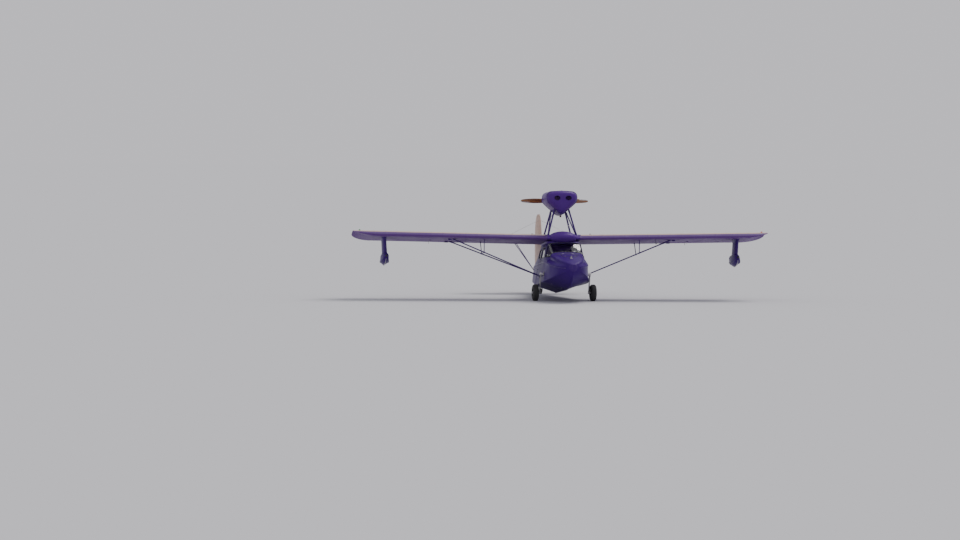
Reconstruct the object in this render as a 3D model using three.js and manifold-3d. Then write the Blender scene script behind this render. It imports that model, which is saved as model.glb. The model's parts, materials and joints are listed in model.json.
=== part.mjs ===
import * as THREE from 'three';
import { mergeVertices } from 'three/addons/utils/BufferGeometryUtils.js';
import manifoldModule from 'manifold-3d';

// Small two-seat flying boat with a pusher engine on a pylon, standing on its wheels.
// Millimetres. X points to port, Y runs aft from the bow, Z rises from the forebody keel.

const wasm = await manifoldModule();
wasm.setup();

// Fits
const touch = 0.3;
const runGap = 6;
const far = 9000;
const nearX = 900;

// Attitude on the ground: the bow is up by this angle.
const parkPitch = THREE.MathUtils.degToRad(4.5);

// Hull
const wall = 34;
const floorZ = 150;
const sillPlaneZ = 790;
const cabinFrontY = 1200;
const cabinRearY = 3150;
const stepY = 3300;
const sternY = 6590;
const crownSteps = 6;
const crownFullness = 0.6;

// Wing
const rootX = 450;
const tipX = 5560;
const tipStartX = 5000;
const wingLeadY = 1750;
const wingBaseZ = 1332;
const chord = 1524;
const incidence = THREE.MathUtils.degToRad(1.5);
const dihedral = Math.tan(THREE.MathUtils.degToRad(1));

// Ailerons
const aileronInX = 3050;
const aileronOutX = 4990;
const aileronHingeShare = 0.8;
const aileronNose = 36;
const aileronMid = 40;

// Engine group
const shaftZ = 2480;
const nacelleMidZ = 2390;
const nacelleFrontY = 1868;
const nacelleRearY = 3400;
const nacelleWall = 22;
const nacelleFloorZ = 2170;
const propY = 3470;
const propRadius = 915;

// Tail
const rudderHingeY = 6625;
const rudderNose = 27;
const finRearY = 6590;
const finHalf = 32;
const elevatorHingeY = 6500;
const elevatorHingeZ = 1570;
const elevatorNose = 23;

// Wheels
const mainWheelX = 770;
const mainWheelY = 1700;
const mainWheelZ = -60;
const tyreRadius = 222;
const tyreHalfWidth = 80;
const rimRadius = 90;
const axleRadius = 18;
const gearPivotY = 1500;
const gearPivotZ = 410;
const legX = 655;
const swivelY = 6060;
const tailWheelY = 6130;
const tailWheelRadius = 80;
const tailWheelHalfWidth = 28;
const wheelSides = 28;
const tailWheelSides = 16;

// Each wheel stands on the middle of one of its flats, so its reach to the ground is short of its radius.
const reachOf = (radius, sides) => radius * Math.cos(Math.PI / sides);
const reachGap = reachOf(tyreRadius, wheelSides) - reachOf(tailWheelRadius, tailWheelSides);
const tailWheelZ = mainWheelZ
  + ((tailWheelY - mainWheelY) * Math.sin(parkPitch) - reachGap) / Math.cos(parkPitch);

const materials = {
  hullPaint: new THREE.MeshStandardMaterial({ color: 0x2d2258, roughness: 0.35, metalness: 0 }),
  nacellePaint: new THREE.MeshStandardMaterial({ color: 0x37285f, roughness: 0.4, metalness: 0 }),
  wingFabric: new THREE.MeshStandardMaterial({ color: 0x5a4080, roughness: 0.5, metalness: 0 }),
  creamFabric: new THREE.MeshStandardMaterial({ color: 0xc9b8a8, roughness: 0.5, metalness: 0 }),
  strutPaint: new THREE.MeshStandardMaterial({ color: 0x3a2f66, roughness: 0.35, metalness: 0.2 }),
  glass: new THREE.MeshStandardMaterial({
    color: 0xcfd6e0, roughness: 0.05, metalness: 0, transparent: true, opacity: 0.35,
  }),
  engineMetal: new THREE.MeshStandardMaterial({ color: 0x6d6a68, roughness: 0.5, metalness: 0.8 }),
  steel: new THREE.MeshStandardMaterial({ color: 0x8b8a90, roughness: 0.35, metalness: 0.9 }),
  rubber: new THREE.MeshStandardMaterial({ color: 0x17151c, roughness: 0.85, metalness: 0 }),
  rimPaint: new THREE.MeshStandardMaterial({ color: 0xb9b4bf, roughness: 0.35, metalness: 0.6 }),
  wood: new THREE.MeshStandardMaterial({ color: 0x7a4a25, roughness: 0.35, metalness: 0 }),
  seatCloth: new THREE.MeshStandardMaterial({ color: 0x6b5a54, roughness: 0.9, metalness: 0 }),
  panelPaint: new THREE.MeshStandardMaterial({ color: 0x1c1a22, roughness: 0.6, metalness: 0 }),
};

// Rows of a table as records with the named columns.
function table(columns, rows) {
  return rows.map((row) => Object.fromEntries(columns.map((name, i) => [name, row[i]])));
}

// Value of a table's rows at a place between two of them.
function between(rows, key, place) {
  const next = Math.max(1, rows.findIndex((row) => row[key] >= place));
  const low = rows[next - 1];
  const high = rows[next];
  const share = (place - low[key]) / (high[key] - low[key]);
  const mixed = (name) => low[name] + (high[name] - low[name]) * share;
  return Object.fromEntries(Object.keys(low).map((name) => [name, mixed(name)]));
}

// The same rows with one more row half way between each pair, on a smooth curve that never overshoots.
function refined(rows, key) {
  const steepness = (low, high, name) => (high[name] - low[name]) / (high[key] - low[key]);
  const slope = (i, side, name) => {
    const beyond = rows[i + (side ? 2 : -1)];
    const own = steepness(rows[i], rows[i + 1], name);
    if (!beyond) return own;
    const next = steepness(rows[i + side], beyond, name);
    return own * next <= 0 ? 0 : (2 * own * next) / (own + next);
  };
  return rows.flatMap((row, i) => {
    const next = rows[i + 1];
    if (!next) return [row];
    const span = next[key] - row[key];
    const middle = Object.fromEntries(Object.keys(row).map((name) => [
      name,
      (row[name] + next[name]) / 2 + (name === key ? 0 : (slope(i, 0, name) - slope(i, 1, name)) * (span / 8)),
    ]));
    return [row, middle];
  });
}

function signedArea(loop) {
  return loop.reduce((sum, [x, z], i) => {
    const [nextX, nextZ] = loop[(i + 1) % loop.length];
    return sum + (x * nextZ - nextX * z) / 2;
  }, 0);
}

// Triangles that fill a flat ring of points, turned the way the ring runs.
function fill(ring) {
  const normal = ring.reduce((sum, point, i) => {
    const next = ring[(i + 1) % ring.length];
    return sum.add(point.clone().sub(ring[0]).cross(next.clone().sub(ring[0])));
  }, new THREE.Vector3());
  const facing = ['x', 'y', 'z'].reduce((a, b) => (Math.abs(normal[a]) >= Math.abs(normal[b]) ? a : b));
  const [u, v] = ['x', 'y', 'z'].filter((axis) => axis !== facing);
  const flat = ring.map((p) => new THREE.Vector2(p[u], p[v]));
  const turn = Math.sign(signedArea(flat.map((p) => [p.x, p.y])));
  return THREE.ShapeUtils.triangulateShape(flat, []).map((face) => {
    const same = Math.sign(signedArea(face.map((i) => [flat[i].x, flat[i].y]))) === turn;
    return same ? face : [face[0], face[2], face[1]];
  });
}

function volumeOf(points, faces) {
  let sum = 0;
  for (let i = 0; i < faces.length; i += 3) {
    const [a, b, c] = [points[faces[i]], points[faces[i + 1]], points[faces[i + 2]]];
    sum += a.dot(b.clone().cross(c)) / 6;
  }
  return sum;
}

// Closed skin through rings of equal count, with both ends flat. Each patch is split across its shorter
// diagonal, so that the two sides of a symmetrical body are mirror images.
function loft(rings) {
  const count = rings[0].length;
  const points = rings.flat();
  const faces = [];
  for (let r = 0; r < rings.length - 1; r += 1) {
    for (let i = 0; i < count; i += 1) {
      const a = r * count + i;
      const b = r * count + ((i + 1) % count);
      const c = a + count;
      const d = b + count;
      if (points[a].distanceTo(points[d]) <= points[b].distanceTo(points[c])) faces.push(a, b, d, a, d, c);
      else faces.push(a, b, c, b, d, c);
    }
  }
  const last = (rings.length - 1) * count;
  fill(rings[rings.length - 1]).forEach(([a, b, c]) => faces.push(last + a, last + b, last + c));
  fill(rings[0]).forEach(([a, b, c]) => faces.push(a, c, b));
  if (volumeOf(points, faces) < 0) faces.reverse();
  const geometry = new THREE.BufferGeometry();
  const values = points.flatMap((p) => [p.x, p.y, p.z]);
  geometry.setAttribute('position', new THREE.Float32BufferAttribute(values, 3));
  geometry.setIndex(faces);
  return geometry;
}

function solidOf(geometry) {
  const bare = geometry.clone();
  bare.deleteAttribute('normal');
  bare.deleteAttribute('uv');
  const welded = mergeVertices(bare, 1e-3);
  return new wasm.Manifold(new wasm.Mesh({
    numProp: 3,
    vertProperties: new Float32Array(welded.attributes.position.array),
    triVerts: new Uint32Array(welded.index.array),
  }));
}

function geometryOf(solid) {
  const mesh = solid.getMesh();
  const geometry = new THREE.BufferGeometry();
  geometry.setAttribute('position', new THREE.BufferAttribute(new Float32Array(mesh.vertProperties), 3));
  geometry.setIndex(new THREE.BufferAttribute(new Uint32Array(mesh.triVerts), 1));
  return geometry;
}

const join = (...parts) => parts.reduce((whole, part) => whole.add(part));
const cut = (body, ...tools) => tools.reduce((rest, tool) => rest.subtract(tool), body);

function boxSolid(x0, x1, y0, y1, z0, z1) {
  const box = new THREE.BoxGeometry(x1 - x0, y1 - y0, z1 - z0);
  return solidOf(box.translate((x0 + x1) / 2, (y0 + y1) / 2, (z0 + z1) / 2));
}

// Round bar from one point to another.
function bar(from, to, radius, sides = 16) {
  const reach = new THREE.Vector3().subVectors(to, from);
  const geometry = new THREE.CylinderGeometry(radius, radius, reach.length(), sides);
  const turn = new THREE.Quaternion().setFromUnitVectors(new THREE.Vector3(0, 1, 0), reach.clone().normalize());
  geometry.applyQuaternion(turn);
  const mid = new THREE.Vector3().addVectors(from, to).multiplyScalar(0.5);
  return solidOf(geometry.translate(mid.x, mid.y, mid.z));
}

// Streamlined strut with an oval section, long fore and aft and thin across. Each section's share is its
// place along the strut.
function taperedStrut(from, to, sections, sides = 12) {
  const along = new THREE.Vector3().subVectors(to, from).normalize();
  const aft = new THREE.Vector3(0, 1, 0).addScaledVector(along, -along.y).normalize();
  const across = new THREE.Vector3().crossVectors(along, aft);
  return solidOf(loft(sections.map(({ share, depth, thickness }) => Array.from({ length: sides }, (_, i) => {
    const turn = (2 * Math.PI * i) / sides;
    return from.clone().lerp(to, share)
      .addScaledVector(aft, (depth / 2) * Math.cos(turn))
      .addScaledVector(across, (thickness / 2) * Math.sin(turn));
  }))));
}

function strut(from, to, depth, thickness, sides = 12) {
  return taperedStrut(from, to, [{ share: 0, depth, thickness }, { share: 1, depth, thickness }], sides);
}

const at = (x, y, z) => new THREE.Vector3(x, y, z);

function mirrored(solid) {
  const geometry = geometryOf(solid);
  geometry.scale(-1, 1, 1);
  geometry.index.array.reverse();
  return solidOf(geometry);
}

// Moves each corner of a counter-clockwise loop inwards by the same distance from both its sides.
function insetLoop(loop, inset) {
  const normal = ([x0, z0], [x1, z1]) => {
    const size = Math.hypot(x1 - x0, z1 - z0);
    return [(z0 - z1) / size, (x1 - x0) / size];
  };
  return loop.map((point, i) => {
    const [ax, az] = normal(loop[(i + loop.length - 1) % loop.length], point);
    const [bx, bz] = normal(point, loop[(i + 1) % loop.length]);
    const scale = inset / (1 + ax * bx + az * bz);
    return [point[0] + (ax + bx) * scale, point[1] + (az + bz) * scale];
  });
}

// Half a section from the bottom up, closed by its mirror image.
function wholeLoop(half) {
  return [...half, ...half.slice(1, -1).reverse().map(([x, z]) => [-x, z])];
}

// Hull lines. The keel breaks upwards at the planing step, and the eave and crown rise at the windshield.
const deckEndY = 1150;
const hullRows = table(
  ['y', 'keelZ', 'chineX', 'chineZ', 'sillX', 'sillZ', 'eaveX', 'eaveZ', 'crownZ'],
  [
    [0, 470, 45, 500, 60, 545, 48, 582, 602],
    [70, 345, 150, 452, 175, 555, 142, 606, 652],
    [190, 245, 255, 405, 285, 572, 232, 634, 712],
    [380, 155, 360, 352, 378, 598, 308, 672, 778],
    [640, 80, 455, 303, 458, 635, 374, 713, 850],
    [900, 32, 520, 268, 507, 672, 414, 748, 906],
    [deckEndY, 8, 560, 243, 528, 710, 436, 782, 948],
    [1450, 0, 590, 220, 537, 752, 444, 1024, 1100],
    [1700, 0, 603, 207, 540, 778, 440, 1225, 1290],
    [2300, 0, 608, 200, 540, 780, 440, 1225, 1290],
    [2900, 0, 600, 196, 530, 780, 430, 1222, 1288],
    [stepY, 0, 585, 194, 508, 780, 402, 1184, 1262],
    [stepY + 2, 92, 578, 236, 508, 780, 402, 1184, 1262],
    [3900, 150, 530, 290, 462, 786, 350, 1085, 1165],
    [4600, 216, 452, 352, 392, 790, 290, 975, 1055],
    [5300, 284, 345, 412, 302, 786, 225, 890, 960],
    [5950, 348, 228, 466, 205, 765, 160, 832, 890],
    [6400, 394, 135, 508, 128, 735, 108, 790, 840],
    [sternY, 414, 98, 526, 96, 722, 82, 772, 820],
  ],
);
const hullStations = [
  ...refined(hullRows.filter(({ y }) => y <= deckEndY), 'y'),
  ...hullRows.filter(({ y }) => y > deckEndY && y <= stepY),
  ...refined(hullRows.filter(({ y }) => y > stepY), 'y'),
];

function hullRing(station, inset) {
  const { y, keelZ, chineX, chineZ, sillX, sillZ, eaveX, eaveZ, crownZ } = station;
  const half = [[0, keelZ], [chineX, chineZ], [sillX, sillZ], [eaveX, eaveZ]];
  for (let i = 1; i < crownSteps; i += 1) {
    const turn = (Math.PI / 2) * (i / crownSteps);
    half.push([
      eaveX * Math.cos(turn) ** crownFullness,
      eaveZ + (crownZ - eaveZ) * Math.sin(turn) ** crownFullness,
    ]);
  }
  half.push([0, crownZ]);
  return insetLoop(wholeLoop(half), inset).map(([x, z]) => at(x, y, z));
}

// Body of the hull and cabin between two stations, drawn in from the skin by the inset.
function hullBody(inset, fromY = 0, toY = sternY) {
  const inner = hullStations.filter(({ y }) => y > fromY && y < toY);
  const stations = [between(hullStations, 'y', fromY), ...inner, between(hullStations, 'y', toY)];
  return solidOf(loft(stations.map((station) => hullRing(station, inset))));
}

const outerHull = hullBody(0);
const outerHullGrown = hullBody(-touch);
const innerSkin = hullBody(wall, cabinFrontY - 1, cabinRearY + 1);
const cabinSpace = innerSkin.intersect(boxSolid(-far, far, cabinFrontY, cabinRearY, floorZ, far));
const cabinShell = cut(
  outerHull.intersect(boxSolid(-far, far, cabinFrontY + touch, cabinRearY - touch, 0, far)),
  innerSkin,
);

// Seat box and the leaning bulkhead behind the seats are built into the hull.
const seat = {
  frontY: 1930, rearY: 2430, baseZ: 330, halfWidth: 480, padDepth: 95, backDepth: 105, lean: 0.16,
};
const bulkheadTopZ = 770;

// Block that leans aft as it rises.
function leaningBlock(halfWidth, y0, y1, z0, z1, lean) {
  const ring = (z) => {
    const shift = (z - z0) * lean;
    return [
      at(-halfWidth, y0 + shift, z),
      at(halfWidth, y0 + shift, z),
      at(halfWidth, y1 + shift, z),
      at(-halfWidth, y1 + shift, z),
    ];
  };
  return solidOf(loft([ring(z0), ring(z1)]));
}

const bulkheadY = seat.rearY + seat.backDepth;
const bulkheadDepth = 25;
const sunk = 20;
const bulkhead = leaningBlock(
  nearX, bulkheadY, bulkheadY + bulkheadDepth, floorZ - sunk, bulkheadTopZ, seat.lean,
);
const seatBox = boxSolid(
  -seat.halfWidth, seat.halfWidth, seat.frontY, bulkheadY + sunk, floorZ - sunk, seat.baseZ,
);
const fittedInside = join(bulkhead, seatBox).intersect(hullBody(wall / 2, cabinFrontY, cabinRearY));

// Strips along the hull's bottom, laid over the stations between two places.
function strip(fromY, toY, section) {
  const rows = hullStations.filter(({ y }) => y >= fromY && y <= toY);
  return solidOf(loft(rows.map((row) => section(row).map(([x, z]) => at(x, row.y, z)))));
}
const sprayRail = strip(130, stepY, ({ chineX, chineZ }) => [
  [chineX - 30, chineZ - 2], [chineX + 24, chineZ - 16], [chineX + 26, chineZ - 6], [chineX - 14, chineZ + 34],
]);
const keelStrip = strip(190, stepY, ({ keelZ }) => [
  [-13, keelZ - 12], [13, keelZ - 12], [13, keelZ + 20], [-13, keelZ + 20],
]);
const bowEye = new THREE.TorusGeometry(26, 7, 8, 20);
bowEye.rotateY(Math.PI / 2);
const hull = join(
  cut(
    outerHull,
    cabinSpace,
    boxSolid(-far, far, cabinFrontY, cabinRearY, sillPlaneZ, far),
  ),
  fittedInside,
  sprayRail,
  mirrored(sprayRail),
  keelStrip,
  solidOf(bowEye.translate(0, 30, 415)),
);

// Doors hang from the eaves and open upwards; each holds a pane, and so do the windshield and rear quarters.
const door = { frontY: 1760, rearY: 2520, topZ: 1190, hingeX: 455, hingeZ: 1196, knuckle: 8 };
const doorWindow = { frontY: 1850, rearY: 2430, bottomZ: 880, topZ: 1135 };
const rearWindow = { frontY: 2620, rearY: 3030, bottomZ: 900, topZ: 1110 };
const windshield = { frontY: 1240, rearY: 1655, bottomZ: 880 };
const paneOut = 12;
const paneIn = 18;

const paneSkin = cut(
  hullBody(paneOut, cabinFrontY, cabinRearY),
  hullBody(paneIn, cabinFrontY - 1, cabinRearY + 1),
);

function sideBox({ frontY, rearY, bottomZ, topZ }, margin = 0) {
  return boxSolid(50, far, frontY + margin, rearY - margin, bottomZ + margin, topZ - margin);
}

const windshieldBox = (margin) => boxSolid(
  -far, far, windshield.frontY + margin, windshield.rearY - margin, windshield.bottomZ + margin, far,
);
const doorHole = sideBox({ ...door, bottomZ: sillPlaneZ });
const doorHoles = join(doorHole, mirrored(doorHole));
const rearHole = sideBox(rearWindow);
const rearHoles = join(rearHole, mirrored(rearHole));

// Hinge knuckles alternate between the roof's eave and the door along one pin line.
const knuckleLength = 60;
const knuckleStarts = { door: [1850, 2370], roof: [1911, 2309] };
const doorLeaf = { x: [450, 459], z: [1150, door.hingeZ] };
const roofLeaf = { x: [435, 453], z: [door.hingeZ + 1, door.hingeZ + 16] };
function knuckles(starts, leaf) {
  return join(...starts.map((y) => join(
    bar(at(door.hingeX, y, door.hingeZ), at(door.hingeX, y + knuckleLength, door.hingeZ), door.knuckle, 12),
    boxSolid(...leaf.x, y, y + knuckleLength, ...leaf.z),
  )));
}
const roofKnuckles = knuckles(knuckleStarts.roof, roofLeaf);
const cabinFrame = join(
  cut(
    cabinShell.intersect(boxSolid(-far, far, 0, far, sillPlaneZ + touch, far)),
    doorHoles,
    rearHoles,
    windshieldBox(0),
  ),
  roofKnuckles,
  mirrored(roofKnuckles),
);

const doorKnuckleRelief = join(...knuckleStarts.roof.map((y) => boxSolid(
  door.hingeX - 30, far, y, y + knuckleLength, door.hingeZ - door.knuckle - runGap, far,
)));
const handle = {
  x: 545, z: 838, frontY: 2310, rearY: 2440, radius: 8, rootX: 512, stalk: 12, stalkHalf: 5, stalkInset: 15,
};
const handleStalks = [handle.frontY + handle.stalkInset, handle.rearY - handle.stalkInset - handle.stalk];
const doorHandle = join(
  bar(at(handle.x, handle.frontY, handle.z), at(handle.x, handle.rearY, handle.z), handle.radius, 10),
  ...handleStalks.map((y) => boxSolid(
    handle.rootX, handle.x, y, y + handle.stalk, handle.z - handle.stalkHalf, handle.z + handle.stalkHalf,
  )),
);
const doorPanel = cut(
  join(
    cabinShell.intersect(sideBox({ ...door, bottomZ: sillPlaneZ }, runGap)),
    knuckles(knuckleStarts.door, doorLeaf),
    doorHandle,
  ),
  sideBox(doorWindow),
  doorKnuckleRelief,
);
const doorPane = paneSkin.intersect(sideBox(doorWindow, touch));
const rearPane = paneSkin.intersect(sideBox(rearWindow, touch));
const windshieldPane = paneSkin.intersect(windshieldBox(touch));

// Wing section: places along the chord as shares of it, and heights in hundredths of it.
// The underside runs straight past the rows that give it no height.
const wingSection = table(['along', 'upper', 'lower'], [
  [0.0125, 5.45, 1.93],
  [0.05, 7.9, 0.93],
  [0.1, 9.6, 0.42],
  [0.2, 11.36, 0.03],
  [0.3, 11.7, null],
  [0.45, 11.0, null],
  [0.6, 9.15, null],
  [0.8, 5.3, null],
  [1, 0.6, 0],
]);
const noseHeight = 3.5;

// A place on the wing from its span position, distance aft along the chord and height off the flat underside.
function wingPoint(x, aft, height) {
  return at(
    x,
    wingLeadY + aft * Math.cos(incidence) + height * Math.sin(incidence),
    wingBaseZ - aft * Math.sin(incidence) + height * Math.cos(incidence) + (x - rootX) * dihedral,
  );
}

// The tip is rounded in plan. Its section shrinks with the chord towards the crest, which keeps its height,
// and the underside sweeps up to the top surface.
const tip = { lead: 300, trail: 640, lift: 0.9, sweep: 1.5, crest: 178 };
function wingRing(x) {
  const out = THREE.MathUtils.clamp((x - tipStartX) / (tipX - tipStartX), 0, 1);
  const round = 1 - Math.sqrt(Math.max(0, 1 - out * out));
  const lead = tip.lead * round;
  const trail = tip.trail * round;
  const localChord = chord - lead - trail;
  const lift = tip.lift * out ** tip.sweep;
  const place = (along, share, topShare) => {
    const height = ((share + (topShare - share) * lift) * chord) / 100;
    return wingPoint(x, lead + along * localChord, tip.crest - ((tip.crest - height) * localChord) / chord);
  };
  const tops = wingSection.map(({ along, upper }) => place(along, upper, upper));
  const nose = place(0, noseHeight, 7);
  const unders = wingSection.filter(({ lower }) => lower !== null)
    .map(({ along, upper, lower }) => place(along, lower, upper));
  return [...tops.reverse(), nose, ...unders];
}

const tipSteps = [0.2, 0.38, 0.55, 0.7, 0.82, 0.91, 0.965, 0.992];
const tipRings = tipSteps.map((share) => tipStartX + (tipX - tipStartX) * share);
const plainWing = solidOf(loft([rootX + touch, tipStartX, ...tipRings].map(wingRing)));

// Hinge lugs stand out from a fixed surface's rear face into slots in the nose of the moving one.
const lugHalf = 6;
const lugRound = 13;
const slotSide = 0.5;
const slotBack = 16;
const aileronHingeAft = aileronHingeShare * chord;
const aileronLugs = [3400, 4020, 4640];
const bayFrontAft = aileronHingeAft - aileronNose - runGap;
const aileronHinge = (x) => wingPoint(x, aileronHingeAft, aileronMid);

function wingBlock(x0, x1, aft0, aft1, height0, height1) {
  const ring = (x) => [
    wingPoint(x, aft0, height0),
    wingPoint(x, aft1, height0),
    wingPoint(x, aft1, height1),
    wingPoint(x, aft0, height1),
  ];
  return solidOf(loft([ring(x0), ring(x1)]));
}

const aileronBay = wingBlock(aileronInX, aileronOutX + runGap, bayFrontAft, chord + 200, -300, 400);
const aileronLugSolids = aileronLugs.map((x) => join(
  wingBlock(
    x - lugHalf, x + lugHalf, bayFrontAft - 20, aileronHingeAft, aileronMid - lugRound, aileronMid + lugRound,
  ),
  bar(aileronHinge(x - lugHalf), aileronHinge(x + lugHalf), lugRound),
));
const wingPanel = join(cut(plainWing, aileronBay), ...aileronLugSolids);

function aileronRing(x) {
  const nose = [];
  for (let i = 0; i <= 8; i += 1) {
    const turn = Math.PI / 2 + (Math.PI * i) / 8;
    nose.push([aileronHingeAft + aileronNose * Math.cos(turn), aileronMid + aileronNose * Math.sin(turn)]);
  }
  const outline = [...nose, [chord, 2], [chord, 9]];
  return outline.map(([aft, height]) => wingPoint(x, aft, height));
}

const aileronSlots = aileronLugs.map((x) => wingBlock(
  x - lugHalf - slotSide, x + lugHalf + slotSide, aileronHingeAft - 80, aileronHingeAft + slotBack, -100, 200,
));
const aileron = cut(
  solidOf(loft([aileronRing(aileronInX + runGap), aileronRing(aileronOutX)])),
  ...aileronSlots,
);

// Centre section: the wing carried across the cabin roof, with the roof fairing that bulges over its nose.
const fairingStations = refined(table(['y', 'halfWidth', 'height'], [
  [1592, 48, 18],
  [1610, 130, 50],
  [1660, 255, 105],
  [1760, 345, 152],
  [1950, 384, 180],
  [2500, 375, 172],
  [2950, 290, 120],
  [3250, 150, 62],
  [3330, 70, 34],
]), 'y');
const fairingMidZ = 1400;
const fairingDrop = 0.06;
function fairingRing({ y, halfWidth, height }) {
  const midZ = fairingMidZ - Math.max(0, y - 2000) * fairingDrop;
  return Array.from({ length: 20 }, (_, i) => {
    const turn = (2 * Math.PI * i) / 20;
    return at(halfWidth * Math.cos(turn), y, midZ + height * Math.sin(turn));
  });
}
const fairing = solidOf(loft(fairingStations.map(fairingRing)));
const halfCentre = solidOf(loft([wingRing(0), wingRing(rootX)]));
// Saddle between the wing and the roof, round-cornered in plan.
const saddle = { corner: 190, drop: 0.028, top: [rootX, 1770, 3220, 1310], foot: [380, 1790, 3190, 1190] };
function saddleRing([halfWidth, frontY, rearY, z]) {
  const reach = halfWidth - saddle.corner;
  const middles = [[reach, rearY, -1], [-reach, rearY, -1], [-reach, frontY, 1], [reach, frontY, 1]];
  return middles.flatMap(([x, y, inward], quarter) => Array.from({ length: 6 }, (_, i) => {
    const turn = (Math.PI / 2) * (quarter + i / 5);
    const place = y + saddle.corner * (inward + Math.sin(turn));
    const slope = z > saddle.foot[3] ? (place - frontY) * saddle.drop : 0;
    return at(x + saddle.corner * Math.cos(turn), place, z - slope);
  }));
}
const rootCuff = solidOf(loft([saddleRing(saddle.top), saddleRing(saddle.foot)]));
const wingCentre = cut(
  join(halfCentre, mirrored(halfCentre), fairing, rootCuff),
  hullBody(-touch).intersect(boxSolid(-far, far, cabinFrontY - 200, sternY, 0, far)),
  join(knuckleClearance(1), knuckleClearance(-1)),
);

function knuckleClearance(side) {
  const reach = [door.hingeX - 60, door.hingeX + 40].map((x) => x * side).sort((a, b) => a - b);
  return boxSolid(...reach, door.frontY - 20, door.rearY + 20, door.hingeZ - 100, door.hingeZ + 20);
}

// Lift struts: a V from one fitting on the hull to the two spars, steadied by jury struts.
const strutFoot = at(585, 2180, 398);
const strutShoe = { x: [500, 625], y: [2090, 2270], z: [350, 430] };
const liftStrutDepth = 78;
const liftStrutThickness = 32;
const sparFitting = { halfWidth: 45, halfLength: 24, drop: 62 };
const sparAft = [300, 1180];
const strutTopX = 3000;
const intoWing = 30;
const juryShare = 0.62;
const juryRadius = 11;
const strutTops = sparAft.map((aft) => wingPoint(strutTopX, aft, intoWing));
const juryFeet = strutTops.map((top) => strutFoot.clone().lerp(top, juryShare));
const juryStruts = sparAft.map((aft, i) => bar(
  juryFeet[i],
  wingPoint(juryFeet[i].x, aft, intoWing),
  juryRadius,
  8,
));
const liftStruts = cut(
  join(
    boxSolid(...strutShoe.x, ...strutShoe.y, ...strutShoe.z),
    ...strutTops.map((top) => strut(strutFoot, top, liftStrutDepth, liftStrutThickness)),
    ...strutTops.map(({ x, y, z }) => boxSolid(
      x - sparFitting.halfWidth,
      x + sparFitting.halfWidth,
      y - sparFitting.halfLength,
      y + sparFitting.halfLength,
      z - sparFitting.drop,
      z,
    )),
    bar(juryFeet[0], juryFeet[1], juryRadius, 8),
    ...juryStruts,
  ),
  outerHullGrown,
  plainWing.translate([0, 0, -touch]),
);

// Wing floats hang on one deep faired strut each and lean outwards at the keel.
const floatX = 4720;
const floatY = 1830;
const floatBottomZ = 672;
const floatCant = THREE.MathUtils.degToRad(-3.5);
const floatStepY = 640;
const floatRows = table(['y', 'half', 'keelZ', 'chineZ', 'topZ'], [
  [0, 12, 215, 228, 252],
  [50, 48, 150, 182, 292],
  [170, 80, 75, 128, 322],
  [400, 103, 14, 84, 336],
  [floatStepY, 106, 0, 76, 338],
  [floatStepY + 2, 104, 26, 94, 338],
  [860, 84, 66, 124, 322],
  [1050, 28, 150, 190, 280],
]);
const floatStations = [
  ...refined(floatRows.filter(({ y }) => y <= floatStepY), 'y'),
  ...refined(floatRows.filter(({ y }) => y > floatStepY), 'y'),
];
function floatRing({ y, half, keelZ, chineZ, topZ }, grow) {
  const sideZ = chineZ + (topZ - chineZ) * 0.45;
  const side = [[0, keelZ], [half, chineZ], [half * 0.98, sideZ]];
  for (let i = 1; i < 4; i += 1) {
    const turn = (Math.PI / 2) * (i / 4);
    side.push([half * 0.98 * Math.cos(turn), sideZ + (topZ - sideZ) * Math.sin(turn)]);
  }
  side.push([0, topZ]);
  const lean = ([x, z]) => at(
    floatX + x * Math.cos(floatCant) + z * Math.sin(floatCant),
    floatY + y,
    floatBottomZ - x * Math.sin(floatCant) + z * Math.cos(floatCant),
  );
  return insetLoop(wholeLoop(side), -grow).map(lean);
}
const floatBody = (grow) => solidOf(loft(floatStations.map((station) => floatRing(station, grow))));
const wingFloat = floatBody(0);
const floatStrutSections = table(['share', 'depth', 'thickness'], [
  [0, 560, 146],
  [0.16, 560, 134],
  [0.7, 560, 130],
  [0.82, 580, 136],
  [0.9, 630, 154],
  [1, 680, 196],
]);
const floatStrutFoot = at(floatX - 12, floatY + 500, floatBottomZ + 270);
const floatStrutTop = wingPoint(floatX + 18, 560, intoWing);
const floatStrut = cut(
  taperedStrut(floatStrutFoot, floatStrutTop, floatStrutSections, 16),
  floatBody(touch),
  plainWing.translate([0, 0, -touch]),
);

// Pitot tube on a mast ahead of the port wing's front strut, and a lamp on each wing tip.
const pitotX = 2500;
const pitotHeight = -110;
const pitotAft = { tip: -150, end: 180, mastFoot: 150, mastTop: 220 };
const pitotRadius = 9;
const pitot = cut(
  join(
    bar(
      wingPoint(pitotX, pitotAft.tip, pitotHeight),
      wingPoint(pitotX, pitotAft.end, pitotHeight),
      pitotRadius,
      12,
    ),
    strut(
      wingPoint(pitotX, pitotAft.mastFoot, pitotHeight),
      wingPoint(pitotX, pitotAft.mastTop, intoWing),
      46,
      16,
      10,
    ),
  ),
  plainWing.translate([0, 0, -touch]),
);
const tipLampShape = new THREE.SphereGeometry(1, 14, 8);
tipLampShape.scale(26, 62, 30);
const tipLampX = 5395;
const tipLampRow = 5;
const tipLampAt = wingRing(tipLampX)[tipLampRow];
const tipLamp = cut(
  solidOf(tipLampShape.translate(tipLampAt.x, tipLampAt.y, tipLampAt.z)),
  plainWing.translate([0, 0, touch]),
);

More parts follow.
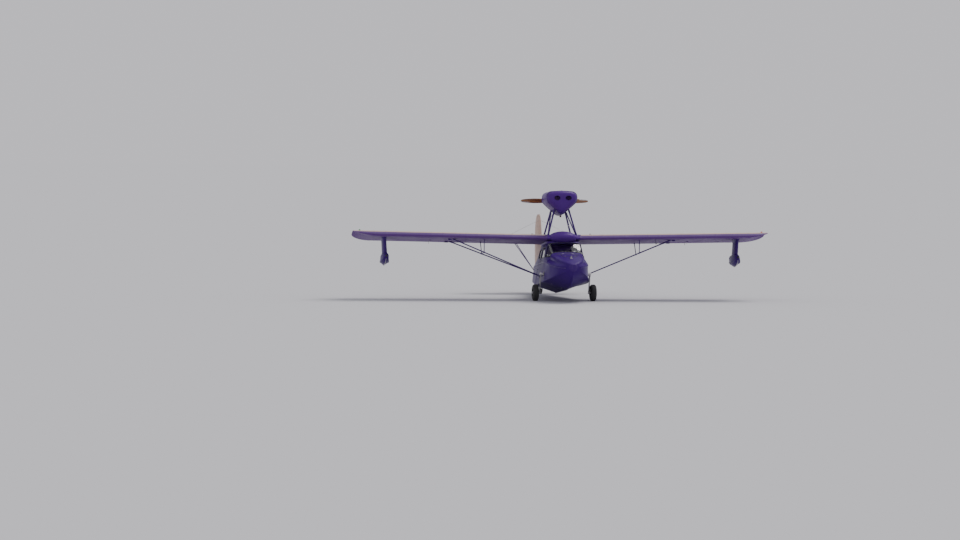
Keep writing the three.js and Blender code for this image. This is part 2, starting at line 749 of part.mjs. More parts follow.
// Engine nacelle: upright sides over a V-shaped keel, blunt ahead and tapered to the propeller.
const nacelleStations = table(['y', 'scale', 'lift'], [
  [nacelleFrontY, 0.4, 20],
  [1876, 0.55, 15],
  [1896, 0.7, 10],
  [1936, 0.825, 5],
  [2000, 0.91, 0],
  [2100, 0.965, 0],
  [2240, 0.992, 0],
  [2400, 1, 0],
  [2850, 0.99, 12],
  [3000, 0.94, 32],
  [3150, 0.84, 56],
  [3290, 0.68, 80],
  [nacelleRearY, 0.5, 95],
]);
const nacelleHalf = [
  [0, -362], [55, -343], [125, -283], [220, -200], [320, -112], [392, -40], [424, 30],
  [430, 90], [422, 160], [388, 222], [285, 271], [0, 287],
];
function nacelleRing({ y, scale, lift }, inset) {
  const loop = wholeLoop(nacelleHalf.map(([x, z]) => [x * scale, nacelleMidZ + lift + z * scale]));
  return insetLoop(loop, inset).map(([x, z]) => at(x, y, z));
}
function nacelleBody(inset, fromY = nacelleFrontY, toY = nacelleRearY) {
  const inner = nacelleStations.filter(({ y }) => y > fromY && y < toY);
  const rows = [between(nacelleStations, 'y', fromY), ...inner, between(nacelleStations, 'y', toY)];
  return solidOf(loft(rows.map((row) => nacelleRing(row, inset))));
}
const nacelleGrown = nacelleBody(-touch);
const inlet = { x: 150, z: 2462, halfWidth: 82, halfHeight: 62 };
function inletHole(side) {
  const ring = (y) => Array.from({ length: 16 }, (_, i) => {
    const turn = (2 * Math.PI * i) / 16;
    const [across, up] = [inlet.halfWidth * Math.cos(turn), inlet.halfHeight * Math.sin(turn)];
    return at(side * inlet.x + across, y, inlet.z + up);
  });
  return solidOf(loft([ring(nacelleFrontY - 60), ring(nacelleFrontY + 110)]));
}
const inletBars = {
  offsets: [-40, -20, 0, 20, 40],
  half: 2.5,
  y: [nacelleFrontY + 42, nacelleFrontY + 58],
  end: 8,
};
function inletBar(side, offset) {
  const middle = side * inlet.x;
  const reach = inlet.halfWidth * Math.sqrt(1 - (offset / inlet.halfHeight) ** 2) + inletBars.end;
  const z = inlet.z + offset;
  return boxSolid(middle - reach, middle + reach, ...inletBars.y, z - inletBars.half, z + inletBars.half);
}
const nacelleFrontWall = 67;
const nacelleRearWall = 25;
const shaftHoleRadius = 110;
const nacelleHollow = nacelleBody(nacelleWall, nacelleFrontY + nacelleFrontWall, nacelleRearY - nacelleRearWall)
  .intersect(boxSolid(-far, far, 0, far, nacelleFloorZ, far));
const nacelle = join(
  cut(
    nacelleBody(0),
    nacelleHollow,
    inletHole(1),
    inletHole(-1),
    bar(at(0, nacelleRearY - 100, shaftZ), at(0, nacelleRearY + 100, shaftZ), shaftHoleRadius, 24),
  ),
  ...[-1, 1].flatMap((side) => inletBars.offsets.map((offset) => inletBar(side, offset))),
);

// Flat four: a crankcase on feet with a pair of cylinders each side and a nose that carries the propeller.
const cylinders = table(['side', 'y'], [[1, 2610], [1, 2800], [-1, 2680], [-1, 2870]]);
const cylinder = { radius: 78, footX: 100, headX: 305 };
const crankcase = { halfWidth: 125, frontY: 2500, rearY: 3060, z: [shaftZ - 110, shaftZ + 120] };
const engineFoot = { halfWidth: 80, y: [2540, 2920] };
const engineRearY = 3300;
const engineNoseRadius = 68;
const engine = join(
  boxSolid(-crankcase.halfWidth, crankcase.halfWidth, crankcase.frontY, crankcase.rearY, ...crankcase.z),
  boxSolid(
    -engineFoot.halfWidth, engineFoot.halfWidth, ...engineFoot.y, nacelleFloorZ + touch, crankcase.z[0] + 10,
  ),
  bar(at(0, crankcase.rearY - 20, shaftZ), at(0, engineRearY, shaftZ), engineNoseRadius, 24),
  ...cylinders.map(({ side, y }) => bar(
    at(side * cylinder.footX, y, shaftZ),
    at(side * cylinder.headX, y, shaftZ),
    cylinder.radius,
    20,
  )),
);

// Exhaust stack out of each side of the nacelle's belly
const exhaustFrom = at(82, 2790, 2190);
const exhaustTo = at(108, 3110, 2040);
const exhaustRadius = 27;
const exhaustBore = 23;
const exhaust = cut(
  bar(exhaustFrom, exhaustTo, exhaustRadius, 16),
  bar(exhaustFrom.clone().lerp(exhaustTo, 0.75), exhaustFrom.clone().lerp(exhaustTo, 1.1), exhaustBore, 16),
  nacelleGrown,
);

// Two-bladed wooden propeller behind the nacelle, with twisted blades and a round hub.
const bladeStations = table(['x', 'width', 'thickness', 'pitch'], [
  [60, 84, 74, 62],
  [150, 104, 50, 50],
  [300, 132, 32, 35],
  [500, 136, 21, 25],
  [700, 116, 14, 19],
  [850, 84, 9, 16],
  [905, 50, 6, 15],
  [propRadius, 24, 4, 15],
]);
function bladeRing({ x, width, thickness, pitch }) {
  const [cosine, sine] = [Math.cos(THREE.MathUtils.degToRad(pitch)), Math.sin(THREE.MathUtils.degToRad(pitch))];
  return Array.from({ length: 12 }, (_, i) => {
    const turn = (2 * Math.PI * i) / 12;
    const across = (width / 2) * Math.cos(turn);
    const deep = (thickness / 2) * Math.sin(turn);
    return at(x, deep * cosine + across * sine, across * cosine - deep * sine);
  });
}
const blade = solidOf(loft(bladeStations.map(bladeRing)));
const hub = { radius: 88, half: 48, capRadius: 46, capRear: 62, shaftRadius: 34 };
const propeller = join(
  bar(at(0, -hub.half, 0), at(0, hub.half, 0), hub.radius, 24),
  bar(at(0, engineRearY + touch - propY, 0), at(0, -30, 0), hub.shaftRadius, 20),
  bar(at(0, 40, 0), at(0, hub.capRear, 0), hub.capRadius, 20),
  blade,
  blade.rotate([0, 180, 0]),
);

// Pylon: an N of struts each side from the wing spars to the nacelle's lower sides.
const pylonFootX = 392;
const pylonTopX = 176;
const pylonTopZ = 2226;
const pylonPostDepth = 84;
const pylonPostThickness = 46;
const pylonPosts = table(['footAft', 'topY'], [[270, 2170], [1180, 2820]]);
const pylonFoot = ({ footAft }) => wingPoint(pylonFootX, footAft, 100);
const pylonTop = ({ topY }) => at(pylonTopX, topY, pylonTopZ);
const pylon = cut(
  join(
    ...pylonPosts.map((post) => strut(pylonFoot(post), pylonTop(post), pylonPostDepth, pylonPostThickness)),
    strut(pylonFoot(pylonPosts[0]), pylonTop(pylonPosts[1]), 56, 32),
  ),
  wingCentre.translate([0, 0, touch]),
  nacelleGrown,
);

// Fin and rudder
const finStations = refined(table(['z', 'leadY', 'half'], [
  [700, 5530, finHalf],
  [820, 5620, finHalf],
  [1000, 5725, finHalf],
  [2040, 6170, finHalf],
  [2190, 6252, 29],
  [2268, 6335, 20],
  [2300, 6420, 9],
]), 'z');
const finNose = [[0, 0], [0.5, 18], [0.84, 70], [1, 170]];
function finRing({ z, leadY, half }, grow) {
  const side = finNose.map(([share, aft]) => [share * (half + grow), leadY - grow + aft]);
  const rear = [[half + grow, finRearY + grow]];
  const port = [...side, ...rear];
  const starboard = port.slice(1).reverse().map(([x, y]) => [-x, y]);
  return [...port, ...starboard].map(([x, y]) => at(x, y, z));
}
const finBody = (grow) => solidOf(loft(finStations.map((station) => finRing(station, grow))));
const torqueTube = { radius: 18, halfLength: 75 };
const rudderLugs = [620, 1120, 1700, 2160];
const rudderLug = (z) => join(
  boxSolid(-lugRound, lugRound, finRearY - 12, rudderHingeY, z - lugHalf, z + lugHalf),
  bar(at(0, rudderHingeY, z - lugHalf), at(0, rudderHingeY, z + lugHalf), lugRound),
);
const fin = join(
  cut(
    finBody(0),
    outerHullGrown,
    bar(
      at(-nearX, elevatorHingeY, elevatorHingeZ),
      at(nearX, elevatorHingeY, elevatorHingeZ),
      torqueTube.radius + runGap,
      20,
    ),
  ),
  ...rudderLugs.slice(1).map(rudderLug),
);
const sternLug = join(rudderLug(rudderLugs[0]), boxSolid(-24, 24, finRearY - 8, finRearY + 4, 590, 650));

const rudderStations = refined(table(['z', 'chord'], [
  [500, 390],
  [514, 500],
  [560, 596],
  [650, 650],
  [800, 680],
  [1100, 698],
  [1500, 698],
  [1850, 650],
  [2050, 578],
  [2190, 470],
  [2268, 345],
  [2298, 240],
]), 'z');
function rudderRing({ z, chord: reach }) {
  const outline = [];
  for (let i = 0; i <= 8; i += 1) {
    const turn = Math.PI + (Math.PI * i) / 8;
    outline.push([rudderNose * Math.cos(turn), rudderHingeY + rudderNose * Math.sin(turn)]);
  }
  outline.push([4, rudderHingeY + reach], [-4, rudderHingeY + reach]);
  return outline.map(([x, y]) => at(x, y, z));
}
const rudder = cut(
  solidOf(loft(rudderStations.map(rudderRing))),
  ...rudderLugs.map((z) => boxSolid(
    -80, 80, rudderHingeY - 80, rudderHingeY + slotBack, z - lugHalf - slotSide, z + lugHalf + slotSide,
  )),
);

// Tailplane and elevators: the two elevators turn together on a tube through the fin.
const tailStations = refined(table(['x', 'leadY', 'half'], [
  [0, 5870, 26],
  [1150, 5960, 26],
  [1360, 6030, 22],
  [1460, 6120, 15],
  [1500, 6230, 8],
]), 'x');
const tailRearY = elevatorHingeY - elevatorNose - runGap;
const tailNose = [[0, 0], [0.55, 16], [0.86, 64], [1, 150]];
function tailRing({ x, leadY, half }) {
  const top = tailNose.map(([share, aft]) => [leadY + aft, share * half]);
  const outline = [...top, [tailRearY, Math.min(half, elevatorNose)]];
  const under = outline.slice(1).reverse().map(([y, z]) => [y, -z]);
  return [...outline, ...under].map(([y, z]) => at(x, y, elevatorHingeZ + z));
}
const tailLugs = [420, 1120];
const tailLug = (x) => join(
  boxSolid(
    x - lugHalf,
    x + lugHalf,
    tailRearY - 12,
    elevatorHingeY,
    elevatorHingeZ - lugRound,
    elevatorHingeZ + lugRound,
  ),
  bar(
    at(x - lugHalf, elevatorHingeY, elevatorHingeZ),
    at(x + lugHalf, elevatorHingeY, elevatorHingeZ),
    lugRound,
  ),
);
const tailplane = cut(
  join(solidOf(loft(tailStations.map(tailRing))), ...tailLugs.map(tailLug)),
  finBody(touch),
  boxSolid(-far, 0.01, 0, far, 0, far),
);

const elevatorStations = refined(table(['x', 'chord', 'nose'], [
  [62, 80, elevatorNose],
  [300, 400, elevatorNose],
  [1250, 400, elevatorNose],
  [1400, 345, 20],
  [1475, 240, 14],
  [1500, 150, 8],
]), 'x');
function elevatorRing({ x, chord: reach, nose }) {
  const outline = [];
  for (let i = 0; i <= 8; i += 1) {
    const turn = Math.PI / 2 + (Math.PI * i) / 8;
    outline.push([elevatorHingeY + nose * Math.cos(turn), nose * Math.sin(turn)]);
  }
  outline.push([elevatorHingeY + reach, -4], [elevatorHingeY + reach, 4]);
  return outline.map(([y, z]) => at(x, y, elevatorHingeZ + z));
}
const elevatorSlots = tailLugs.map((x) => boxSolid(
  x - lugHalf - slotSide,
  x + lugHalf + slotSide,
  elevatorHingeY - 80,
  elevatorHingeY + slotBack,
  elevatorHingeZ - 80,
  elevatorHingeZ + 80,
));
const elevatorHalf = cut(solidOf(loft(elevatorStations.map(elevatorRing))), ...elevatorSlots);
const elevator = join(
  elevatorHalf,
  mirrored(elevatorHalf),
  bar(
    at(-torqueTube.halfLength, elevatorHingeY, elevatorHingeZ),
    at(torqueTube.halfLength, elevatorHingeY, elevatorHingeZ),
    torqueTube.radius,
    20,
  ),
);

// Tail struts: a V under each tailplane from a fitting on the hull.
const tailStrutFoot = at(186, 6130, 705);
const tailStrutTops = [at(760, 6110, elevatorHingeZ), at(760, 6400, elevatorHingeZ)];
const tailStrutShoe = { x: [120, 200], y: [6085, 6175], z: [675, 735] };
const tailStruts = cut(
  join(
    boxSolid(...tailStrutShoe.x, ...tailStrutShoe.y, ...tailStrutShoe.z),
    ...tailStrutTops.map((top) => strut(tailStrutFoot, top, 40, 20, 10)),
  ),
  outerHullGrown,
  tailplane.translate([0, 0, -touch]),
);

// Main gear: a crank leg on a pivot through the hull side, with a stub axle.
const legTop = at(legX, gearPivotY, gearPivotZ);
const legEnd = at(legX, mainWheelY, mainWheelZ);
const hubHalf = 60;
const gearLeg = join(
  cut(bar(at(540, gearPivotY, gearPivotZ), at(legX, gearPivotY, gearPivotZ), 40, 20), outerHullGrown),
  bar(at(legX - 20, gearPivotY, gearPivotZ), at(legX + 18, gearPivotY, gearPivotZ), 52, 24),
  strut(legTop, legEnd, 64, 34),
  bar(at(legX - 18, mainWheelY, mainWheelZ), at(mainWheelX - hubHalf - 2, mainWheelY, mainWheelZ), 34, 20),
  bar(at(legX, mainWheelY, mainWheelZ), at(mainWheelX + hubHalf + 14, mainWheelY, mainWheelZ), axleRadius, 20),
  bar(
    at(mainWheelX + hubHalf + 2, mainWheelY, mainWheelZ),
    at(mainWheelX + hubHalf + 16, mainWheelY, mainWheelZ),
    30,
    20,
  ),
);

// Solid of revolution about the X axis from a closed profile of [radius, x] pairs, with a flat side down.
function turned(profile, sides) {
  const points = [...profile, profile[0]].map(([radius, x]) => new THREE.Vector2(radius, x));
  const geometry = new THREE.LatheGeometry(points, sides);
  geometry.rotateZ(-Math.PI / 2);
  geometry.rotateX(parkPitch + Math.PI / sides);
  if (solidOf(geometry).volume() < 0) geometry.index.array.reverse();
  return geometry;
}

const bore = axleRadius + 0.5;
const rimProfile = [
  [bore, -hubHalf], [38, -hubHalf], [42, -22], [74, -16], [rimRadius - 8, -46], [rimRadius, -48],
  [rimRadius, 48], [rimRadius - 8, 46], [74, 16], [42, 22], [38, hubHalf], [bore, hubHalf],
];
const tyreSide = [
  [rimRadius + touch, 46], [rimRadius + 6, 60], [118, 75], [155, tyreHalfWidth],
  [190, 72], [212, 50], [tyreRadius, 22],
];
const tyreProfile = [...tyreSide.map(([r, x]) => [r, -x]), ...[...tyreSide].reverse()];
const tailWheelProfile = [
  [8.5, -22], [30, -22], [34, -14], [46, -tailWheelHalfWidth], [66, -tailWheelHalfWidth], [tailWheelRadius, -12],
  [tailWheelRadius, 12], [66, tailWheelHalfWidth], [46, tailWheelHalfWidth], [34, 14], [30, 22], [8.5, 22],
];

// Tail wheel: a bracket under the stern and a steering fork that also carries the water rudder.
const forkTopZ = tailWheelZ + tailWheelRadius + 46;
const cheek = { inner: 36, outer: 44 };
const tailBracket = cut(
  join(
    bar(at(0, swivelY, forkTopZ + touch), at(0, swivelY, 420), 26, 20),
    strut(at(0, swivelY, forkTopZ + 40), at(0, swivelY + 150, 440), 40, 30),
  ),
  outerHullGrown,
  boxSolid(-far, far, 0, far, forkTopZ - 100, forkTopZ + touch),
);
const waterRudderTopZ = forkTopZ - 8;
const forkCheek = (side) => {
  const [x0, x1] = [cheek.inner * side, cheek.outer * side].sort((a, b) => a - b);
  const ring = (x) => [
    at(x, swivelY - 26, forkTopZ - 2),
    at(x, swivelY - 10, forkTopZ - 34),
    at(x, tailWheelY - 18, tailWheelZ - 14),
    at(x, tailWheelY + 18, tailWheelZ - 14),
    at(x, tailWheelY + 30, forkTopZ - 30),
    at(x, tailWheelY + 36, forkTopZ - 2),
  ];
  return solidOf(loft([ring(x0), ring(x1)]));
};
const bladePlate = (x) => [
  at(x, tailWheelY + 20, waterRudderTopZ),
  at(x, tailWheelY + 106, waterRudderTopZ - 46),
  at(x, tailWheelY + 112, tailWheelZ - 40),
  at(x, tailWheelY + 220, tailWheelZ - 20),
  at(x, tailWheelY + 250, waterRudderTopZ - 40),
  at(x, tailWheelY + 230, waterRudderTopZ),
];
const tailFork = join(
  boxSolid(-cheek.outer, cheek.outer, swivelY - 32, tailWheelY + 40, forkTopZ - 14, forkTopZ),
  forkCheek(1),
  forkCheek(-1),
  bar(at(-50, tailWheelY, tailWheelZ), at(50, tailWheelY, tailWheelZ), 8, 16),
  solidOf(loft([bladePlate(-4), bladePlate(4)])),
);

// Cabin fittings
const inCabin = hullBody(wall + touch, cabinFrontY + touch, cabinRearY - touch);
const panel = { y: [1330, 1348], z: [700, 978] };
const panelPlate = boxSolid(-far, far, ...panel.y, ...panel.z).intersect(inCabin);
const yoke = { x: 250, y: 1600, z: 720, ring: 105, tube: 10, columnY: 1490 };
const yokeRing = (side) => {
  const ring = new THREE.TorusGeometry(yoke.ring, yoke.tube, 6, 16);
  ring.rotateX(Math.PI / 2);
  return join(
    solidOf(ring.translate(side * yoke.x, yoke.y, yoke.z)),
    boxSolid(
      side * yoke.x - yoke.ring, side * yoke.x + yoke.ring, yoke.y - 7, yoke.y + 7, yoke.z - 11, yoke.z + 11,
    ),
    bar(at(side * yoke.x, yoke.columnY, yoke.z), at(side * yoke.x, yoke.y, yoke.z), 12, 12),
  );
};
const controlColumn = join(
  boxSolid(-60, 60, yoke.columnY - 50, yoke.columnY + 50, floorZ + touch, floorZ + 30),
  bar(at(0, yoke.columnY, floorZ + 10), at(0, yoke.columnY, yoke.z), 22, 16),
  bar(at(-yoke.x, yoke.columnY, yoke.z), at(yoke.x, yoke.columnY, yoke.z), 16, 16),
  yokeRing(1),
  yokeRing(-1),
);

const seatPad = boxSolid(
  -seat.halfWidth + 15,
  seat.halfWidth - 15,
  seat.frontY,
  seat.rearY - 12,
  seat.baseZ + touch,
  seat.baseZ + seat.padDepth,
);
const backFootZ = seat.baseZ + touch;
const backRise = (backFootZ - floorZ + 20) * seat.lean;
const seatBack = leaningBlock(
  seat.halfWidth - 60,
  seat.rearY + backRise - 4,
  bulkheadY + backRise - touch,
  backFootZ,
  960,
  seat.lean,
);

// Mooring cleat on the foredeck
const cleatY = 420;
const cleatBaseZ = 802;
const cleatHornZ = cleatBaseZ + 38;
const cleat = cut(
  join(
    boxSolid(-30, 30, cleatY - 45, cleatY + 45, cleatBaseZ - 60, cleatBaseZ),
    boxSolid(-13, 13, cleatY - 24, cleatY + 24, cleatBaseZ - 8, cleatHornZ),
    bar(at(0, cleatY - 85, cleatHornZ), at(0, cleatY + 85, cleatHornZ), 13, 12),
  ),
  outerHullGrown,
);

const airframe = new THREE.Group();
airframe.rotation.x = -parkPitch;

function add(name, shape, material, position = [0, 0, 0]) {
  const geometry = shape.isBufferGeometry ? shape : geometryOf(shape);
  const mesh = new THREE.Mesh(geometry, material.clone());
  mesh.name = name;
  mesh.position.set(...position);
  airframe.add(mesh);
}

// Adds a port piece and its mirror image.
function addPair(name, solid, material) {
  add(`${name}_left`, solid, material);
  add(`${name}_right`, mirrored(solid), material);
}

add('hull', join(hull, sternLug), materials.hullPaint);
add('cabin_frame', cabinFrame, materials.hullPaint);
add('windshield', windshieldPane, materials.glass);
addPair('rear_window', rearPane, materials.glass);
addPair('door', doorPanel, materials.hullPaint);
addPair('door_window', doorPane, materials.glass);
add('wing_center', wingCentre, materials.nacellePaint);
addPair('wing', wingPanel, materials.wingFabric);
addPair('aileron', aileron, materials.creamFabric);
addPair('wing_strut', liftStruts, materials.strutPaint);
addPair('wing_float', wingFloat, materials.hullPaint);
addPair('float_strut', floatStrut, materials.strutPaint);
addPair('tip_lamp', tipLamp, materials.glass);
add('pitot_tube', pitot, materials.steel);
add('nacelle', nacelle, materials.nacellePaint);
add('engine', engine, materials.engineMetal);
addPair('exhaust', exhaust, materials.steel);
addPair('pylon', pylon, materials.strutPaint);
add('propeller', propeller, materials.wood, [0, propY, shaftZ]);
add('fin', fin, materials.creamFabric);
add('rudder', rudder, materials.creamFabric);
addPair('tailplane', tailplane, materials.wingFabric);
add('elevator', elevator, materials.creamFabric);
addPair('tail_strut', tailStruts, materials.strutPaint);
addPair('gear_leg', gearLeg, materials.steel);
[['left', 1], ['right', -1]].forEach(([sideName, side]) => {
  const place = [side * mainWheelX, mainWheelY, mainWheelZ];
  add(`wheel_${sideName}`, turned(rimProfile, wheelSides), materials.rimPaint, place);
  add(`tyre_${sideName}`, turned(tyreProfile, wheelSides), materials.rubber, place);
});
add('tail_bracket', tailBracket, materials.steel);
add('tail_fork', tailFork, materials.steel);
add('tail_wheel', turned(tailWheelProfile, tailWheelSides), materials.rubber, [0, tailWheelY, tailWheelZ]);
add('seat_cushion', seatPad, materials.seatCloth);
add('seat_back', seatBack, materials.seatCloth);
add('instrument_panel', panelPlate, materials.panelPaint);
add('control_column', controlColumn, materials.steel);
add('bow_cleat', cleat, materials.steel);

// Stands the aircraft on the ground with the middle of its plan over the origin.
airframe.updateMatrixWorld(true);
const extent = new THREE.Box3().setFromObject(airframe, true);
airframe.position.set(0, -(extent.min.y + extent.max.y) / 2, -extent.min.z);

const group = new THREE.Group();
group.add(airframe);
export default group;
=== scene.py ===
import json
import math

import bmesh
import bpy
import numpy as np
from mathutils import Matrix, Vector


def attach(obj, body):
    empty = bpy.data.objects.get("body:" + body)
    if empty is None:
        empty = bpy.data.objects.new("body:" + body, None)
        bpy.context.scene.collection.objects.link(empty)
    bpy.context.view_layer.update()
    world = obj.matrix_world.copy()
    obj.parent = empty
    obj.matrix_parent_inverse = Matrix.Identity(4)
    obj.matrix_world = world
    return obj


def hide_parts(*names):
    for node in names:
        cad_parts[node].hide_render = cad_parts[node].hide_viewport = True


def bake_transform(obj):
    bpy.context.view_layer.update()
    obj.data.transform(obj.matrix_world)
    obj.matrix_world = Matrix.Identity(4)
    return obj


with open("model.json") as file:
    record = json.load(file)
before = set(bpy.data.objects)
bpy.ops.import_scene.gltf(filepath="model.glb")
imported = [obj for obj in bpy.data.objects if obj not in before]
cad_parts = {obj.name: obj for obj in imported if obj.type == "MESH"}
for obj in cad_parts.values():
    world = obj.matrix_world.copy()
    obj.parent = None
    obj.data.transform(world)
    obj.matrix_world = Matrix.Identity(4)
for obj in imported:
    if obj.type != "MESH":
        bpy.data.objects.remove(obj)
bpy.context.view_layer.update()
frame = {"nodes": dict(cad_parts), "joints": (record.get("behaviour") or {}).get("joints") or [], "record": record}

# Two-seat amphibious flying boat on its wheels. Lengths are in metres.
# Pieces are laid out in the hull's own lines, x to port, y aft from the bow and z up from the keel,
# and are then turned bow up by the angle at which the aircraft parks.
parkPitch = math.radians(4.5)
propHub = Vector((0, 3.470, 2.480))
propJoint = next(j for j in frame["joints"] if j["name"] == "propeller_spin")
hullTurn = Matrix.Rotation(-parkPitch, 4, "X")
hullToRow = Matrix.Translation(Vector(propJoint["pos_m"]) - (hullTurn @ propHub)) @ hullTurn
cadNodes = frame["nodes"]


# Shader building

class Wire:
    # one output socket that adds maths nodes when it is used in a sum
    def __init__(self, finish, socket):
        self.finish = finish
        self.socket = socket

    def sum(self, operation, *values):
        return self.finish.node("ShaderNodeMath", {"operation": operation}, dict(enumerate(values)))

    def __add__(self, other):
        return self.sum("ADD", self, other)

    def __sub__(self, other):
        return self.sum("SUBTRACT", self, other)

    def __mul__(self, other):
        return self.sum("MULTIPLY", self, other)

    def __truediv__(self, other):
        return self.sum("DIVIDE", self, other)

    def __mod__(self, other):
        return self.sum("FLOORED_MODULO", self, other)

    def __pow__(self, other):
        return self.sum("POWER", self, other)

    def __gt__(self, other):
        return self.sum("GREATER_THAN", self, other)

    def __lt__(self, other):
        return self.sum("LESS_THAN", self, other)

    def __abs__(self):
        return self.sum("ABSOLUTE", self)

    def __rsub__(self, other):
        return self.sum("SUBTRACT", other, self)

    def __rtruediv__(self, other):
        return self.sum("DIVIDE", other, self)

    __radd__ = __add__
    __rmul__ = __mul__


class Finish:
    # one material being wired up
    def __init__(self, name):
        self.material = bpy.data.materials.new(name)
        self.material.use_nodes = True
        self.tree = self.material.node_tree
        self.tree.nodes.clear()
        self.shader = self.tree.nodes.new("ShaderNodeBsdfPrincipled")
        out = self.tree.nodes.new("ShaderNodeOutputMaterial")
        self.tree.links.new(self.shader.outputs[0], out.inputs["Surface"])

    def node(self, kind, settings=None, sockets=None, output=0):
        made = self.tree.nodes.new(kind)
        for key, value in (settings or {}).items():
            setattr(made, key, value)
        for key, value in (sockets or {}).items():
            self.feed(made.inputs[key], value)
        return Wire(self, made.outputs[output])

    def feed(self, socket, value):
        if isinstance(value, Wire):
            self.tree.links.new(value.socket, socket)
        elif socket.type == "RGBA" and len(value) == 3:
            socket.default_value = (*value, 1)
        else:
            socket.default_value = value

    def surface(self, **values):
        names = {"colour": "Base Color", "rough": "Roughness", "metal": "Metallic", "coat": "Coat Weight",
                 "coatRough": "Coat Roughness", "normal": "Normal", "sheen": "Sheen Weight",
                 "transmission": "Transmission Weight", "ior": "IOR", "specular": "Specular IOR Level"}
        for key, value in values.items():
            self.feed(self.shader.inputs[names[key]], value)
        return self.material

    def place(self):
        return self.node("ShaderNodeTexCoord", output="Object")

    def axis(self, index):
        return self.node("ShaderNodeSeparateXYZ", None, {0: self.place()}, output=index)

    def stretched(self, scale, turn=(0, 0, 0)):
        return self.node("ShaderNodeMapping", None, {"Vector": self.place(), "Scale": scale,
                                                     "Rotation": turn})

    def noise(self, scale, detail=3, where=None, roughness=0.5):
        return self.node("ShaderNodeTexNoise", None, {
            "Vector": where or self.place(), "Scale": scale, "Detail": detail, "Roughness": roughness})

    def bands(self, scale, direction="X", distortion=0.0):
        return self.node("ShaderNodeTexWave", {"bands_direction": direction}, {
            "Vector": self.place(), "Scale": scale, "Distortion": distortion}, output="Fac")

    def mix(self, amount, low, high):
        return self.node("ShaderNodeMix", {"data_type": "RGBA"}, {0: amount, 6: low, 7: high}, output=2)

    def span(self, value, low, high, toLow=0.0, toHigh=1.0):
        return self.node("ShaderNodeMapRange", None, {0: value, 1: low, 2: high, 3: toLow, 4: toHigh})

    def bump(self, height, distance, strength=1.0, under=None):
        sockets = {"Height": height, "Distance": distance, "Strength": strength}
        if under:
            sockets["Normal"] = under
        return self.node("ShaderNodeBump", None, sockets)


def shade(colour, share, lift=0.0):
    return tuple(c * share + lift for c in colour)


def enamel(name, colour, worn, rough=0.36, dirt=0.35):
    f = Finish(name)
    grime = f.span(f.noise(2.1, 6, roughness=0.65), 0.46, 0.78)
    streaks = f.span(f.noise(1.0, 5, f.stretched((14, 14, 1.3))), 0.52, 0.8)
    scuffs = f.span(f.noise(1.0, 4, f.stretched((3, 46, 60), (0, 0, 0.4))), 0.66, 0.74)
    tint = f.mix(grime * dirt, colour, worn)
    tint = f.mix(streaks * (dirt * 0.6), tint, worn)
    tint = f.mix(scuffs * 0.16, tint, (0.16, 0.12, 0.24))
    bumps = f.bump(f.noise(150, 2), 0.0006, 0.22, f.bump(f.noise(4, 2), 0.005, 0.3))
    return f.surface(colour=tint, rough=(grime * 0.22 + rough) + scuffs * 0.12, coat=0.04 - grime * 0.03,
                     coatRough=0.12, specular=0.07, normal=bumps)


def dopedCloth(name, colour, worn, ribAxis, ribStart, ribPitch, rough=0.5, under=None):
    f = Finish(name)
    if under:  # faces that point down take the under colour: a violet made lighter as painted light reflected up from below; on cream cloth it also gives the underside its violet paint
        facing = f.node("ShaderNodeTexCoord", output="Normal")
        below = f.node("ShaderNodeSeparateXYZ", None, {0: facing}, output=2) < -0.15
        colour, worn = f.mix(below, colour, under), f.mix(below, worn, under)
    # distance from the nearest rib
    off = abs((abs(f.axis(ribAxis)) - (ribStart - ribPitch / 2)) % ribPitch - ribPitch / 2)
    tape = f.span(off, 0.024, 0.026, 1.0, 0.0)
    lace = (f.bands(20, "Y") > 0.93) * f.span(off, 0.003, 0.005, 1.0, 0.0)
    weave = f.bands(260, "X") + f.bands(260, "Y")
    grime = f.span(f.noise(1.7, 6, roughness=0.62), 0.45, 0.8)
    streaks = f.span(f.noise(1.0, 5, f.stretched((16, 1.2, 6))), 0.5, 0.8)
    tint = f.mix(grime * 0.35, colour, worn)
    tint = f.mix(streaks * 0.22, tint, worn)
    tint = f.mix(tape * 0.16, tint, worn)
    bumps = f.bump(tape + lace * 1.6, 0.0016, 0.8, f.bump(weave, 0.0003, 0.12))
    return f.surface(colour=tint, rough=grime * 0.2 + rough, specular=0.22, normal=bumps)


def barMetal(name, colour, rough=0.32, grain=40, stained=0.45, metal=1.0):
    f = Finish(name)
    brushed = f.noise(grain, 4, f.stretched((1, 1, 12)))
    stain = f.span(f.noise(11, 6), 0.45, 0.75)
    tint = f.mix(stain * stained, colour, shade(colour, 0.5))
    return f.surface(colour=tint, rough=brushed * 0.18 + stain * 0.12 + rough, metal=metal,
                     normal=f.bump(brushed, 0.0005, 0.3))


def blackRubber(name, colour, scale=70):
    f = Finish(name)
    dust = f.span(f.noise(6, 6, roughness=0.6), 0.42, 0.75)
    pores = f.noise(scale * 4, 3)
    tint = f.mix(dust * 0.55, colour, shade(colour, 2.6, 0.018))
    return f.surface(colour=tint, rough=dust * 0.15 + 0.66, normal=f.bump(pores, 0.0008, 0.35))


def laminatedWood(name):
    f = Finish(name)
    plies = f.bands(13, "Y", 0.15)
    grain = f.noise(1.0, 6, f.stretched((5, 160, 160)), 0.65)
    plyLine = f.span(abs(plies - 0.5), 0.0, 0.08, 1.0, 0.0)
    tint = f.mix(f.span(plies, 0.45, 0.55), (0.30, 0.115, 0.030), (0.165, 0.055, 0.014))
    tint = f.mix(f.span(grain, 0.35, 0.7) * 0.5, tint, (0.09, 0.028, 0.008))
    tint = f.mix(plyLine * 0.5, tint, (0.05, 0.018, 0.006))
    return f.surface(colour=tint, rough=grain * 0.2 + 0.2, coat=0.8, coatRough=0.08,
                     normal=f.bump(grain, 0.0006, 0.25))


